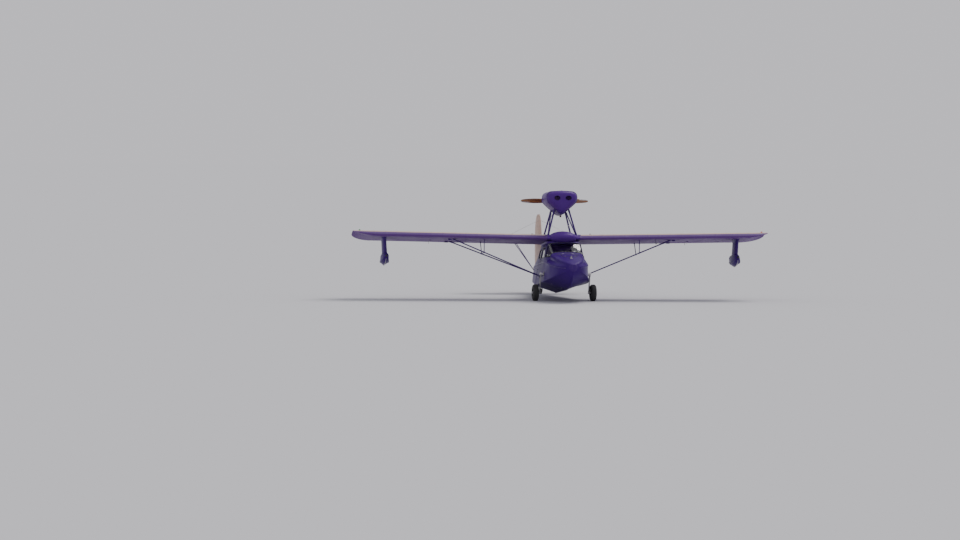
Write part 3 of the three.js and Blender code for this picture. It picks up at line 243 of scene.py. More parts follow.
def wovenCloth(name, colour, thread):
    f = Finish(name)
    warp = f.bands(120, "X", 0.4)
    weft = f.bands(120, "Y", 0.4)
    blot = f.span(f.noise(5, 5), 0.4, 0.75)
    tint = f.mix(warp * weft, colour, thread)
    tint = f.mix(blot * 0.35, tint, shade(colour, 0.55))
    return f.surface(colour=tint, rough=blot * 0.1 + 0.8, sheen=0.25,
                     normal=f.bump(warp + weft, 0.0012, 0.5, f.bump(f.noise(30, 4), 0.003, 0.3)))


def clearPane(name, colour, ior=1.45):
    f = Finish(name)
    hairlines = f.span(f.noise(1.0, 3, f.stretched((30, 300, 20), (0.3, 0, 0.8))), 0.5, 0.8)
    return f.surface(colour=f.mix(hairlines * 0.25, colour, shade(colour, 0.9)),
                     rough=hairlines * 0.05 + 0.01, transmission=1.0, ior=ior)


def plainFinish(name, colour, rough, **more):
    f = Finish(name)
    blot = f.span(f.noise(14, 5), 0.4, 0.72)
    tint = f.mix(blot * 0.4, colour, shade(colour, 0.62))
    return f.surface(colour=tint, rough=blot * 0.14 + rough, normal=f.bump(f.noise(110, 3), 0.0006, 0.3),
                     **more)


print("finishes")
# the third violet is the wing violet made lighter for faces that point down: painted light reflected up from below
violet, wornViolet, violetWithPaintedBounce = (0.080, 0.027, 0.172), (0.120, 0.070, 0.200), (0.118, 0.040, 0.220)
cream, wornCream = (0.560, 0.415, 0.345), (0.36, 0.27, 0.25)
hullEnamel = enamel("indigoHullEnamel", (0.038, 0.006, 0.142), (0.070, 0.034, 0.166))
cowlEnamel = enamel("indigoCowlEnamel", (0.074, 0.018, 0.205), (0.108, 0.054, 0.225))
strutEnamel = enamel("indigoStrutEnamel", (0.050, 0.014, 0.156), (0.092, 0.056, 0.178), 0.3, 0.5)
wingViolet = dopedCloth("violetWingCloth", violet, wornViolet, 0, 0.45, 0.305, under=violetWithPaintedBounce)
wingCream = dopedCloth("creamWingCloth", cream, wornCream, 0, 0.45, 0.305)
aileronCloth = dopedCloth("aileronCloth", cream, wornCream, 0, 0.45, 0.305, under=violetWithPaintedBounce)
tailCloth = dopedCloth("tailCloth", cream, wornCream, 0, 0.10, 0.26, under=violetWithPaintedBounce)
finCream = dopedCloth("creamFinCloth", cream, wornCream, 2, 0.18, 0.28)
satinSteel = barMetal("satinSteel", (0.46, 0.45, 0.47))
boltSteel = barMetal("boltSteel", (0.55, 0.54, 0.55), 0.28, 90)
castAlloy = barMetal("castAlloy", (0.36, 0.355, 0.35), 0.5, 120)
rimAlloy = barMetal("rimAlloy", (0.62, 0.60, 0.63), 0.3, 60, 0.35)
sootySteel = barMetal("sootyExhaustSteel", (0.22, 0.15, 0.11), 0.5, 50, 0.8)
tyreRubber = blackRubber("tyreRubber", (0.016, 0.015, 0.017))
sealRubber = blackRubber("sealRubber", (0.012, 0.012, 0.014), 140)
propWood = laminatedWood("laminatedPropWood")
seatTweed = wovenCloth("seatTweed", (0.105, 0.070, 0.055), (0.19, 0.14, 0.11))
seatPiping = wovenCloth("seatPiping", (0.030, 0.024, 0.045), (0.06, 0.05, 0.08))
beltWebbing = wovenCloth("beltWebbing", (0.035, 0.030, 0.060), (0.09, 0.08, 0.12))
panelBlack = plainFinish("panelCrackle", (0.018, 0.017, 0.020), 0.55)
dialBlack = plainFinish("dialBlack", (0.008, 0.008, 0.009), 0.4)
dialWhite = plainFinish("dialWhite", (0.75, 0.74, 0.70), 0.5)
floorMat = blackRubber("floorMat", (0.03, 0.03, 0.033), 30)
paneAcrylic = clearPane("acrylicPane", (0.80, 0.82, 0.85))
redLens = clearPane("redLens", (0.75, 0.03, 0.02))
greenLens = clearPane("greenLens", (0.03, 0.55, 0.14))
whiteLens = clearPane("whiteLens", (0.88, 0.87, 0.84))

slotFinishes = {"hull_paint": hullEnamel, "nacelle_paint": cowlEnamel, "wing_fabric": wingViolet,
                "cream_fabric": wingCream, "strut_paint": strutEnamel, "glass": paneAcrylic,
                "engine_metal": castAlloy, "steel": satinSteel, "tyre": tyreRubber, "rim_paint": rimAlloy,
                "wood": propWood, "seat_fabric": seatTweed, "panel_paint": panelBlack, }
ownFinishes = {"elevator": tailCloth, "tailplane_left": tailCloth, "tailplane_right": tailCloth,
               "fin": finCream, "rudder": finCream, "aileron_left": aileronCloth,
               "aileron_right": aileronCloth, "tip_lamp_left": redLens, "tip_lamp_right": greenLens,
               "exhaust_left": sootySteel, "exhaust_right": sootySteel, }


def seamless(angle):
    # joins the loose triangles of a carried-over solid and shades it smooth up to the angle
    group = bpy.data.node_groups.new(f"seamless{angle}", "GeometryNodeTree")
    group.interface.new_socket("Geometry", in_out="INPUT", socket_type="NodeSocketGeometry")
    group.interface.new_socket("Geometry", in_out="OUTPUT", socket_type="NodeSocketGeometry")
    add = group.nodes.new
    source, out = add("NodeGroupInput"), add("NodeGroupOutput")
    weld, drop = add("GeometryNodeMergeByDistance"), add("GeometryNodeRemoveAttribute")
    faces, edges = add("GeometryNodeSetShadeSmooth"), add("GeometryNodeSetShadeSmooth")
    bend, sharp = add("GeometryNodeInputMeshEdgeAngle"), add("FunctionNodeCompare")
    weld.inputs["Distance"].default_value = 0.00005
    drop.inputs["Name"].default_value = "custom_normal"
    edges.domain = "EDGE"
    edges.inputs["Shade Smooth"].default_value = False
    sharp.operation = "GREATER_THAN"
    sharp.inputs[1].default_value = math.radians(angle)
    link = group.links.new
    link(source.outputs[0], weld.inputs[0])
    link(weld.outputs[0], drop.inputs[0])
    link(drop.outputs[0], faces.inputs["Geometry"])
    link(faces.outputs[0], edges.inputs["Geometry"])
    link(bend.outputs[0], sharp.inputs[0])
    link(sharp.outputs[0], edges.inputs["Selection"])
    link(edges.outputs[0], out.inputs[0])
    return group


softShading, crispShading = seamless(34), seamless(22)
crispNodes = {"cabin_frame", "door_left", "door_right", "hull", "wing_strut_left", "wing_strut_right"}
for part in frame["record"]["subparts"]:
    node = cadNodes[part["node"]]
    node.data.materials.clear()
    node.data.materials.append(ownFinishes.get(part["node"], slotFinishes[part["material_slot"]]))
    smoothing = node.modifiers.new("seamless", "NODES")
    smoothing.node_group = crispShading if part["node"] in crispNodes else softShading


# Mesh building

bothSides = (("left", 1), ("right", -1))
athwart, aftward, upward = (1, 0, 0), (0, 1, 0), (0, 0, 1)


def at(x, y, z):
    return Vector((x, y, z))


def angles(count, offset=0.0):
    # evenly spaced round a circle
    return [2 * math.pi * (k + offset) / count for k in range(count)]


def quad(r, i, n):
    # the face at point i between the rings r and r + 1, of n points each
    return (r * n + i, r * n + (i + 1) % n, (r + 1) * n + (i + 1) % n, (r + 1) * n + i)


class Shape:
    # collects loops of points into one mesh, in the hull's lines
    def __init__(self):
        self.points = []
        self.faces = []
        self.tones = []

    def add(self, points, faces, tone=0):
        start = len(self.points)
        self.points += [Vector(p) for p in points]
        self.faces += [tuple(start + i for i in face) for face in faces]
        self.tones += [tone] * len(faces)
        return self

    def loft(self, rings, tone=0, caps=True, closed=True):
        n = len(rings[0])
        faces = [quad(r, i, n) for r in range(len(rings) - 1) for i in range(n if closed else n - 1)]
        if caps:
            faces += [tuple(reversed(range(n))), tuple((len(rings) - 1) * n + i for i in range(n))]
        return self.add([p for ring in rings for p in ring], faces, tone)

    def tube(self, path, radius, sides=10, tone=0, loop=False):
        path = [Vector(p) for p in path]
        count = len(path)
        rings = []
        side = None
        for i, p in enumerate(path):
            ahead = path[(i + 1) % count] if loop else path[min(i + 1, count - 1)]
            behind = path[(i - 1) % count] if loop else path[max(i - 1, 0)]
            along = (ahead - behind).normalized()
            side = along.orthogonal() if side is None else side - along * side.dot(along)
            side.normalize()
            across = along.cross(side)
            size = radius[i] if isinstance(radius, (list, tuple)) else radius
            rings.append([p + (side * math.cos(t) + across * math.sin(t)) * size
                          for t in angles(sides)])
        if loop:
            rings.append(rings[0])
        return self.loft(rings, tone, caps=not loop)

    def turned(self, profile, centre, axis, steps=32, tone=0, closed=True):
        # profile holds (radius, distance along the axis)
        axis = Vector(axis).normalized()
        side = axis.orthogonal().normalized()
        across = axis.cross(side)
        rings = [[Vector(centre) + axis * along + (side * math.cos(t) + across * math.sin(t)) * r
                  for r, along in profile]
                 for t in (2 * math.pi * k / steps for k in range(steps + 1))]
        return self.loft(rings, tone, caps=False, closed=closed)

    def slab(self, low, high, edge=0.002, tone=0, turn=None):
        # box whose edges are cut back at 45 degrees
        (x0, y0, z0), (x1, y1, z1) = low, high
        e = min(edge, (x1 - x0) / 3, (y1 - y0) / 3, (z1 - z0) / 3)
        rows = [(z0, e), (z0 + e, 0), (z1 - e, 0), (z1, e)]
        rings = [[(x0 + e + i, y0 + i, z), (x1 - e - i, y0 + i, z), (x1 - i, y0 + e + i, z),
                  (x1 - i, y1 - e - i, z), (x1 - e - i, y1 - i, z), (x0 + e + i, y1 - i, z),
                  (x0 + i, y1 - e - i, z), (x0 + i, y0 + e + i, z)] for z, i in rows]
        rings = [[Vector(p) for p in ring] for ring in rings]
        if turn:
            rings = [[turn @ p for p in ring] for ring in rings]
        return self.loft(rings, tone)

    def bolt(self, place, axis, size=0.006, tone=0):
        axis = Vector(axis).normalized()
        self.turned([(0.0001, 0), (size * 1.5, 0), (size * 1.5, size * 0.22), (0.0001, size * 0.22)],
                    place, axis, 14, tone)
        side = axis.orthogonal().normalized()
        across = axis.cross(side)
        ring = [side * math.cos(k * math.pi / 3) + across * math.sin(k * math.pi / 3) for k in range(6)]
        heights = ((0.2, 1.0), (0.8, 1.0), (0.95, 0.86))
        return self.loft([[Vector(place) + axis * size * h + r * size * s for r in ring] for h, s in heights],
                         tone)

    def eye(self, place, axis, half, tone=0):
        # small round boss at the end of a control horn
        return self.turned([(0.0001, -half), (0.006, -half), (0.006, half), (0.0001, half)], place, axis, 14,
                           tone)

    def screws(self, places, axis, size=0.004, tone=0):
        for place in places:
            self.turned([(0.0001, size * 0.45), (size * 0.6, size * 0.38), (size, size * 0.1),
                         (size, -size * 0.3)], place, axis, 10, tone, closed=False)
        return self

    def make(self, name, finishes, body="airframe", smooth=38, stands=(), side=1):
        finishes = finishes if isinstance(finishes, (list, tuple)) else [finishes]
        mesh = bpy.data.meshes.new(name)
        points = [hullToRow @ Vector((p.x * side, p.y, p.z)) for p in self.points]
        faces = self.faces if side > 0 else [tuple(reversed(face)) for face in self.faces]
        mesh.from_pydata(points, [], faces)
        for finish in finishes:
            mesh.materials.append(finish)
        mesh.polygons.foreach_set("material_index", self.tones)
        mesh.validate()
        welder = bmesh.new()
        welder.from_mesh(mesh)
        bmesh.ops.remove_doubles(welder, verts=welder.verts, dist=1e-6)
        bmesh.ops.recalc_face_normals(welder, faces=welder.faces)
        welder.to_mesh(mesh)
        welder.free()
        mesh.shade_smooth()
        mesh.set_sharp_from_angle(angle=math.radians(smooth))
        piece = bpy.data.objects.new(name, mesh)
        bpy.context.scene.collection.objects.link(piece)
        if body:
            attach(piece, body)
        if stands:
            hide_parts(*stands)
        return piece

    def pair(self, name, finishes, body="airframe", slot=None, smooth=38, stands=()):
        # the port piece and its mirror image; a % in the body's or a node's name is the side's word
        return [self.make(f"{name}_{word}", finishes, body.replace("%", word), smooth,
                          [n.replace("%", word) for n in stands], side)
                for word, side in bothSides]


def eased(rows, places):
    # rows of numbers, each led by its place, on a smooth curve that never overshoots
    rows = np.array(rows, float)
    steps = np.diff(rows[:, 0])
    rises = np.diff(rows[:, 1:], axis=0) / steps[:, None]
    slopes = np.zeros_like(rows[:, 1:])
    slopes[0], slopes[-1] = rises[0], rises[-1]
    same = rises[:-1] * rises[1:] > 0
    slopes[1:-1][same] = (2 * rises[:-1] * rises[1:])[same] / (rises[:-1] + rises[1:])[same]
    made = []
    for place in places:
        i = int(np.clip(np.searchsorted(rows[:, 0], place) - 1, 0, len(steps) - 1))
        t = (place - rows[i, 0]) / steps[i]
        values = (2 * t**3 - 3 * t**2 + 1) * rows[i, 1:] + (t**3 - 2 * t**2 + t) * steps[i] * slopes[i]
        values = values + (3 * t**2 - 2 * t**3) * rows[i + 1, 1:]
        made.append([place, *(values + (t**3 - t**2) * steps[i] * slopes[i + 1])])
    return made


def grownLoop(loop, grow):
    # moves each corner of a counter-clockwise loop out by the same distance from both its sides
    loop = np.array(loop)
    edge = np.roll(loop, -1, axis=0) - loop
    out = np.stack([edge[:, 1], -edge[:, 0]], axis=1) / np.maximum(np.linalg.norm(edge, axis=1),
                                                                   1e-9)[:, None]
    before = np.roll(out, 1, axis=0)
    scale = grow / np.maximum(1 + (out * before).sum(axis=1), 0.2)
    return loop + (out + before) * scale[:, None]


print("hull skin")
# y, keel z, chine x, chine z, sill x, sill z, eave x, eave z, crown z
hullLines = {
    "bow": [
        (0.000, 0.470, 0.045, 0.500, 0.060, 0.545, 0.048, 0.582, 0.602),
        (0.070, 0.345, 0.150, 0.452, 0.175, 0.555, 0.142, 0.606, 0.652),
        (0.190, 0.245, 0.255, 0.405, 0.285, 0.572, 0.232, 0.634, 0.712),
        (0.380, 0.155, 0.360, 0.352, 0.378, 0.598, 0.308, 0.672, 0.778),
        (0.640, 0.080, 0.455, 0.303, 0.458, 0.635, 0.374, 0.713, 0.850),
        (0.900, 0.032, 0.520, 0.268, 0.507, 0.672, 0.414, 0.748, 0.906),
        (1.150, 0.008, 0.560, 0.243, 0.528, 0.710, 0.436, 0.782, 0.948),
    ],
    "cabin": [
        (1.150, 0.008, 0.560, 0.243, 0.528, 0.710, 0.436, 0.782, 0.948),
        (1.450, 0.000, 0.590, 0.220, 0.537, 0.752, 0.444, 1.024, 1.100),
        (1.700, 0.000, 0.603, 0.207, 0.540, 0.778, 0.440, 1.225, 1.290),
        (2.300, 0.000, 0.608, 0.200, 0.540, 0.780, 0.440, 1.225, 1.290),
        (2.900, 0.000, 0.600, 0.196, 0.530, 0.780, 0.430, 1.222, 1.288),
        (3.300, 0.000, 0.585, 0.194, 0.508, 0.780, 0.402, 1.184, 1.262),
    ],
    "stern": [
        (3.302, 0.092, 0.578, 0.236, 0.508, 0.780, 0.402, 1.184, 1.262),
        (3.900, 0.150, 0.530, 0.290, 0.462, 0.786, 0.350, 1.085, 1.165),
        (4.600, 0.216, 0.452, 0.352, 0.392, 0.790, 0.290, 0.975, 1.055),
        (5.300, 0.284, 0.345, 0.412, 0.302, 0.786, 0.225, 0.890, 0.960),
        (5.950, 0.348, 0.228, 0.466, 0.205, 0.765, 0.160, 0.832, 0.890),
        (6.400, 0.394, 0.135, 0.508, 0.128, 0.735, 0.108, 0.790, 0.840),
        (6.590, 0.414, 0.098, 0.526, 0.096, 0.722, 0.082, 0.772, 0.820),
    ],
}
hullSkin = {"proud": 0.0022, "sill": 0.790, "cabinFront": 1.200, "cabinRear": 3.150, "bottomSteps": 7,
            "sideSteps": 5, "crownSteps": 9, "crownFullness": 0.6}


def hullRow(y):
    if y <= hullLines["bow"][-1][0]:
        return eased(hullLines["bow"], [y])[0]
    if y <= hullLines["cabin"][-1][0]:
        rows = np.array(hullLines["cabin"])
        return [y, *(np.interp(y, rows[:, 0], rows[:, k]) for k in range(1, 9))]
    return eased(hullLines["stern"], [y])[0]


def hullHalf(row):
    keelZ, chineX, chineZ, sillX, sillZ, eaveX, eaveZ, crownZ = row[1:]
    s = hullSkin
    lines = [((0, keelZ), (chineX, chineZ), s["bottomSteps"]),
             ((chineX, chineZ), (sillX, sillZ), s["sideSteps"])]
    half = [(a[0] + (b[0] - a[0]) * k / n, a[1] + (b[1] - a[1]) * k / n) for a, b, n in lines
            for k in range(n)]
    share = min(max((s["sill"] - sillZ) / (eaveZ - sillZ), 0.1), 0.85)
    for k in (0, share, share + (1 - share) / 3, share + (1 - share) * 2 / 3):
        half.append((sillX + (eaveX - sillX) * k, sillZ + (eaveZ - sillZ) * k))
    for k in range(s["crownSteps"] + 1):
        t = math.pi / 2 * k / s["crownSteps"]
        half.append((eaveX * math.cos(t) ** s["crownFullness"] if k < s["crownSteps"] else 0,
                     eaveZ + (crownZ - eaveZ) * math.sin(t) ** s["crownFullness"]))
    return half


def hullSection(y, grow):
    half = hullHalf(hullRow(y))
    return grownLoop(half + [(-x, z) for x, z in reversed(half[1:-1])], grow)


def upperHalf(y):
    # the port half of a section from the chine up
    return hullHalf(hullRow(y))[hullSkin["bottomSteps"]:]


def sideX(y, z):
    # how far out the side of the hull or cabin stands at a height
    half = upperHalf(y)
    return float(np.interp(z, [p[1] for p in half], [p[0] for p in half]))


def deckZ(x, y):
    half = upperHalf(y)
    return float(np.interp(-abs(x), [-p[0] for p in half], [p[1] for p in half]))


def skinPiece(name, places, keep):
    shape = Shape()
    rings = [[at(x, y, z) for x, z in hullSection(y, hullSkin["proud"])] for y in places]
    n = len(rings[0])
    faces = [quad(r, i, n) for r in range(len(rings) - 1) for i in range(n)
             if keep((places[r] + places[r + 1]) / 2, (rings[r][i].z + rings[r][(i + 1) % n].z) / 2)]
    shape.add([p for ring in rings for p in ring], faces)
    if places[0] < 0.01:
        shape.faces.append(tuple(range(n)))
        shape.tones.append(0)
    if places[-1] > 6.58:
        shape.faces.append(tuple((len(rings) - 1) * n + i for i in reversed(range(n))))
        shape.tones.append(0)
    return shape.make(name, hullEnamel, smooth=26)


def runsAlong(points):
    # how far along a flat path each of its points lies
    return np.cumsum([0.0] + [math.hypot(b[0] - a[0], b[1] - a[1]) for a, b in zip(points, points[1:])])


def spread(low, high, count):
    return [low + (high - low) * i / count for i in range(count + 1)]


belowSill = lambda y, z: z < hullSkin["sill"] or not hullSkin["cabinFront"] < y < hullSkin["cabinRear"]
skinPiece("forebody_skin", spread(0, 1.15, 40) + [1.2] + spread(1.2, 3.15, 26)[1:] + [3.3], belowSill)
skinPiece("afterbody_skin", spread(3.302, 6.59, 70), belowSill)


# Laying trim on surfaces

def lay(spot, places, middle=None):
    # points of a surface at the places, each with the direction that faces out of it
    middle = middle or (lambda p: at(0, p.y, 0.62))
    step = 0.006
    path, facing = [], []
    for u, v in places:
        p = spot(u, v)
        n = (spot(u + step, v) - spot(u - step, v)).cross(spot(u, v + step) - spot(u, v - step)).normalized()
        path.append(p)
        facing.append(n if n.dot(p - middle(p)) > 0 else -n)
    return path, facing


def layOne(spot, u, v, middle=None):
    (place,), (out,) = lay(spot, [(u, v)], middle)
    return place, out


def ribbon(shape, laid, width, height, tone=0, loop=False, sink=0.0012):
    # flat strip with rounded shoulders along laid points
    path, facing = laid
    count = len(path)
    rings = []
    for i, (p, n) in enumerate(zip(path, facing)):
        ahead = path[(i + 1) % count] if loop else path[min(i + 1, count - 1)]
        behind = path[i - 1] if loop or i else path[0]
        across = n.cross(ahead - behind).normalized() * (width / 2)
        rings.append([p + across * side + n * height * rise if rise else p + across * side - n * sink
                      for side, rise in ((1, 0), (0.97, 0.6), (0.72, 1), (-0.72, 1), (-0.97, 0.6), (-1, 0))])
    return shape.loft(rings + rings[:1] if loop else rings, tone, caps=not loop)


def walk(laid, pitch, loop=False, start=0.0):
    # evenly spaced places along laid points
    path, facing = laid
    if loop:
        path, facing = path + path[:1], facing + facing[:1]
    runs = np.cumsum([0.0] + [(b - a).length for a, b in zip(path, path[1:])])
    count = max(int((runs[-1] - start) / pitch), 1)
    found = []
    for k in range(count + (0 if loop else 1)):
        reach = min(start + k * (runs[-1] - start) / count, runs[-1])
        i = min(int(np.searchsorted(runs, reach, side="right")) - 1, len(path) - 2)
        t = (reach - runs[i]) / max(runs[i + 1] - runs[i], 1e-9)
        found.append((path[i].lerp(path[i + 1], t), facing[i].lerp(facing[i + 1], t).normalized()))
    return found


def studs(shape, laid, pitch, size=0.0035, tone=0, loop=False, start=0.0, lift=0.0):
    for place, axis in walk(laid, pitch, loop, start):
        shape.turned([(0.0001, size * 0.5), (size * 0.62, size * 0.4), (size, size * 0.08), (size, -0.002)],
                     place + axis * lift, axis, 8, tone, closed=False)
    return shape


def frameLoop(low, high, corner, gap=0.04):
    # round-cornered rectangle on a surface, with points close enough to follow its bend
    (u0, v0), (u1, v1) = low, high
    turns = []
    for u, v, start in ((u1 - corner, v1 - corner, 0), (u0 + corner, v1 - corner, 90),
                        (u0 + corner, v0 + corner, 180), (u1 - corner, v0 + corner, 270)):
        turns += [(u + corner * math.cos(math.radians(start + k * 22.5)),
                   v + corner * math.sin(math.radians(start + k * 22.5))) for k in range(5)]
    loop = []
    for (u, v), (nextU, nextV) in zip(turns, turns[1:] + turns[:1]):
        count = max(1, math.ceil(math.hypot(nextU - u, nextV - v) / gap))
        loop += [(u + (nextU - u) * k / count, v + (nextV - v) * k / count) for k in range(count)]
    return loop


def ovalStrut(shape, foot, top, rows, tone=0, sides=24):
    # rows hold the share of the way up, the length fore and aft, and the thickness
    along = (top - foot).normalized()
    aft = (at(0, 1, 0) - along * along.y).normalized()
    across = along.cross(aft)
    return shape.loft([[foot.lerp(top,
                                  share) + aft * (deep / 2 * math.cos(t)) + across * (thick / 2 * math.sin(t))
                        for t in angles(sides)] for share, deep, thick in rows], tone)


def cuff(shape, foot, top, low, high, deep, thick, tone=0):
    # close sleeve round an oval strut between two shares of its length
    edge = 0.004 / (top - foot).length
    return ovalStrut(shape, foot, top, [(low, deep, thick), (low + edge, deep + 0.008, thick + 0.008),
                                        (high - edge, deep + 0.008, thick + 0.008), (high, deep, thick)],
                     tone)


hullSide = lambda y, z: at(sideX(y, z), y, z)
hullDeck = lambda x, y: at(x, y, deckZ(x, y))


def hullBottom(y, share):
    row = hullRow(y)
    return at(row[2] * share, y, row[1] + (row[3] - row[1]) * share)


bottomMiddle = lambda p: at(0, p.y, 0.7)


print("wings")
wing = {"rootX": 0.450, "tipX": 5.560, "tipStart": 5.000, "tipLead": 0.300, "tipTrail": 0.640,
        "tipLift": 0.90, "tipSweep": 1.5, "crest": 0.178, "leadY": 1.750, "baseZ": 1.332, "chord": 1.524,
        "incidence": math.radians(1.5), "dihedral": math.tan(math.radians(1)), "ribPitch": 0.305,
        "sag": 0.0048, "bayIn": 3.050, "bayOut": 4.996, "bayAft": 1.1772, "creamFrom": 0.085,
        "upperSteps": 30, "lowerSteps": 22}
# share of the chord, height over it in hundredths
wingTop = [(0, 3.5), (0.0125, 5.45), (0.05, 7.9), (0.1, 9.6), (0.2, 11.36), (0.3, 11.7), (0.45, 11.0),
           (0.6, 9.15), (0.8, 5.3), (1, 0.6)]
wingBelly = [(0, 3.5), (0.0125, 1.93), (0.05, 0.93), (0.1, 0.42), (0.2, 0.03), (0.3, 0.0), (0.6, 0.0),
             (1, 0.0)]


def wingPlace(x, aft, height):
    c, s = math.cos(wing["incidence"]), math.sin(wing["incidence"])
    return at(x, wing["leadY"] + aft * c + height * s,
              wing["baseZ"] - aft * s + height * c + (x - wing["rootX"]) * wing["dihedral"])


def chordPlaces(steps):
    return [(1 - math.cos(math.pi * k / steps)) / 2 for k in range(steps + 1)]


def sectionHeights(rows, places):
    made = eased([(math.sqrt(a), h) for a, h in rows], [math.sqrt(p) for p in places])
    return [row[1] * wing["chord"] / 100 for row in made]


upperPlaces, lowerPlaces = chordPlaces(wing["upperSteps"]), chordPlaces(wing["lowerSteps"])
upperHeights, lowerHeights = sectionHeights(wingTop, upperPlaces), sectionHeights(wingBelly, lowerPlaces)


def smoothStep(value, low, high):
    t = min(max((value - low) / (high - low), 0), 1)
    return t * t * (3 - 2 * t)


def wingLoop(x, cutBay):
    out = min(max((x - wing["tipStart"]) / (wing["tipX"] - wing["tipStart"]), 0), 1)
    curl = 1 - math.sqrt(max(0, 1 - out * out))
    lead, trail = wing["tipLead"] * curl, wing["tipTrail"] * curl
    lift = wing["tipLift"] * out ** wing["tipSweep"]
    localChord = wing["chord"] - lead - trail
    slack = wing["sag"] * math.sin(math.pi * ((x - wing["rootX"]) / wing["ribPitch"] % 1)) ** 2 * (1 - out)

    def taut(along):
        return smoothStep(along, 0.17, 0.26) * (1 - smoothStep(along, 0.86, 0.99))

    def noseTop(along, height):
        # the nose comes up with the underside towards the tip
        if along >= 0.05:
            return height
        return height + max(0.0, (0.070 + 0.18 * along) * wing["chord"] - height) * lift

    top = [(a, noseTop(a, h - slack * taut(a))) for a, h in zip(upperPlaces, upperHeights)]
    belly = [(a, h + slack * 0.8 * taut(a)) for a, h in zip(lowerPlaces, lowerHeights)]
    ceiling = np.interp(lowerPlaces, upperPlaces, [h for a, h in top])
    belly = [(a, h + (c - h) * lift) for (a, h), c in zip(belly, ceiling)]
    shrink = localChord / wing["chord"]
    loop = [(lead + a * localChord, wing["crest"] - (wing["crest"] - h) * shrink)
            for a, h in top[::-1] + belly[1:]]
    if cutBay:
        limit, end = wing["bayAft"], wing["chord"]
        topAt = np.interp(limit / end, upperPlaces, upperHeights)
        for i, (aft, height) in enumerate(loop):
            if aft > limit:
                t = (aft - limit) / (end - limit)
                edge = topAt if i <= wing["upperSteps"] else 0.0
                loop[i] = (limit, edge + (topAt / 2 - edge) * t)
    return [wingPlace(x, aft, height) for aft, height in loop]


wingStations = []
for rib in range(int((wing["tipStart"] - wing["rootX"]) / wing["ribPitch"]) + 1):
    for share in (0, 0.08, 0.25, 0.5, 0.75, 0.92):
        wingStations.append(wing["rootX"] + 0.0004 + (rib + share) * wing["ribPitch"])
wingStations = [x for x in wingStations if x < wing["tipStart"] and min(
    abs(x - wing["bayIn"]), abs(x - wing["bayOut"])) > 0.004]
wingStations += [wing["tipStart"] + (wing["tipX"] - wing["tipStart"]) * share
                 for share in (0, 0.08, 0.16, 0.24, 0.32, 0.4, 0.48, 0.56, 0.64, 0.71, 0.78, 0.84, 0.89, 0.93,
                               0.96, 0.98, 0.991, 0.998)]
bayIn, bayOut = wing["bayIn"], wing["bayOut"]
marked = sorted([(x, bayIn < x < bayOut) for x in wingStations]
                + [(bayIn - 0.0001, False), (bayIn, True), (bayOut, True), (bayOut + 0.0001, False)])
wingSkin = Shape()
rings = [wingLoop(x, cutBay) for x, cutBay in marked]
n = len(rings[0])
creamRows = sum(1 for a in upperPlaces if a > wing["creamFrom"])
wingSkin.add([p for ring in rings for p in ring], [])
for r in range(len(rings) - 1):
    for i in range(n):
        face = (r * n + i, (r + 1) * n + i, (r + 1) * n + (i + 1) % n, r * n + (i + 1) % n)
        wingSkin.faces.append(face)
        wingSkin.tones.append(1 if i < creamRows else 0)
wingSkin.faces += [tuple(range(n)), tuple((len(rings) - 1) * n + i for i in reversed(range(n)))]
wingSkin.tones += [0, 0]
hingeAft = 0.8 * wing["chord"]
for x in (3.400, 4.020, 4.640):  # aileron hinge brackets
    low, high = wingPlace(x - 0.004, wing["bayAft"] - 0.02, 0.030), wingPlace(x + 0.004, hingeAft, 0.050)
    wingSkin.slab(low, (high.x, high.y, high.z + 0.008), 0.001, 2)
    wingSkin.turned([(0.003, -0.005), (0.0125, -0.005), (0.0125, 0.005), (0.003, 0.005)],
                    wingPlace(x, hingeAft, 0.040), athwart, 20, 2)
wingSkin.pair("wing_skin", [wingViolet, wingCream, satinSteel], slot="wing_fabric", smooth=42,
              stands=["wing_%"])


print("propeller")
# distance from the hub, blade width, thickness, pitch in degrees
bladeLines = [(0.060, 0.084, 0.074, 62), (0.150, 0.104, 0.050, 50), (0.300, 0.132, 0.032, 35),
              (0.500, 0.136, 0.021, 25), (0.700, 0.116, 0.014, 19), (0.850, 0.084, 0.009, 16),
              (0.905, 0.050, 0.006, 15), (0.915, 0.024, 0.004, 15)]
prop = {"sections": 44, "round": 22, "sheathFrom": 0.66, "boltCircle": 0.056, "bolts": 6}
prop["places"] = [0.060 + (0.915 - 0.060) * (1 - (1 - k / prop["sections"]) ** 1.35)
                  for k in range(prop["sections"] + 1)]


def bladeRing(row):
    x, width, thick, pitch = row
    c, s = math.cos(math.radians(pitch)), math.sin(math.radians(pitch))
    ring = []
    for t in angles(prop["round"]):
        across, deep = width / 2 * math.cos(t), thick / 2 * math.sin(t) * (1.0 if math.sin(t) > 0 else 0.72)
        ring.append(at(x, deep * c + across * s, across * c - deep * s))
    return ring


bladeRings = [bladeRing(row) for row in eased(bladeLines, prop["places"])]
propeller = Shape()
for turn in (Matrix.Identity(3), Matrix.Rotation(math.pi, 3, "Y")):
    rings = [[propHub + turn @ p for p in ring] for ring in bladeRings]
    propeller.loft(rings)
    k = next(i for i, place in enumerate(prop["places"]) if place > prop["sheathFrom"])
    sheath = []
    for row, ring in zip(eased(bladeLines, prop["places"])[k:], rings[k:]):
        middle = sum(ring, Vector()) / len(ring)
        strip = ring[-4:] + ring[:5]
        outer = [p + (p - middle).normalized() * 0.0011 for p in strip]
        sheath.append(outer + [p - (p - middle) * 0.04 for p in reversed(strip)])
    propeller.loft(sheath, 1)
propeller.turned([(0.030, -0.046), (0.084, -0.046), (0.088, -0.040), (0.088, 0.040), (0.084, 0.046),
                  (0.030, 0.046)], propHub, aftward, 48)
for along in (-0.053, 0.046):
    propeller.turned([(0.020, along), (0.074, along), (0.075, along + 0.001), (0.075, along + 0.006),
                      (0.074, along + 0.007), (0.020, along + 0.007)], propHub, aftward, 40, 1)
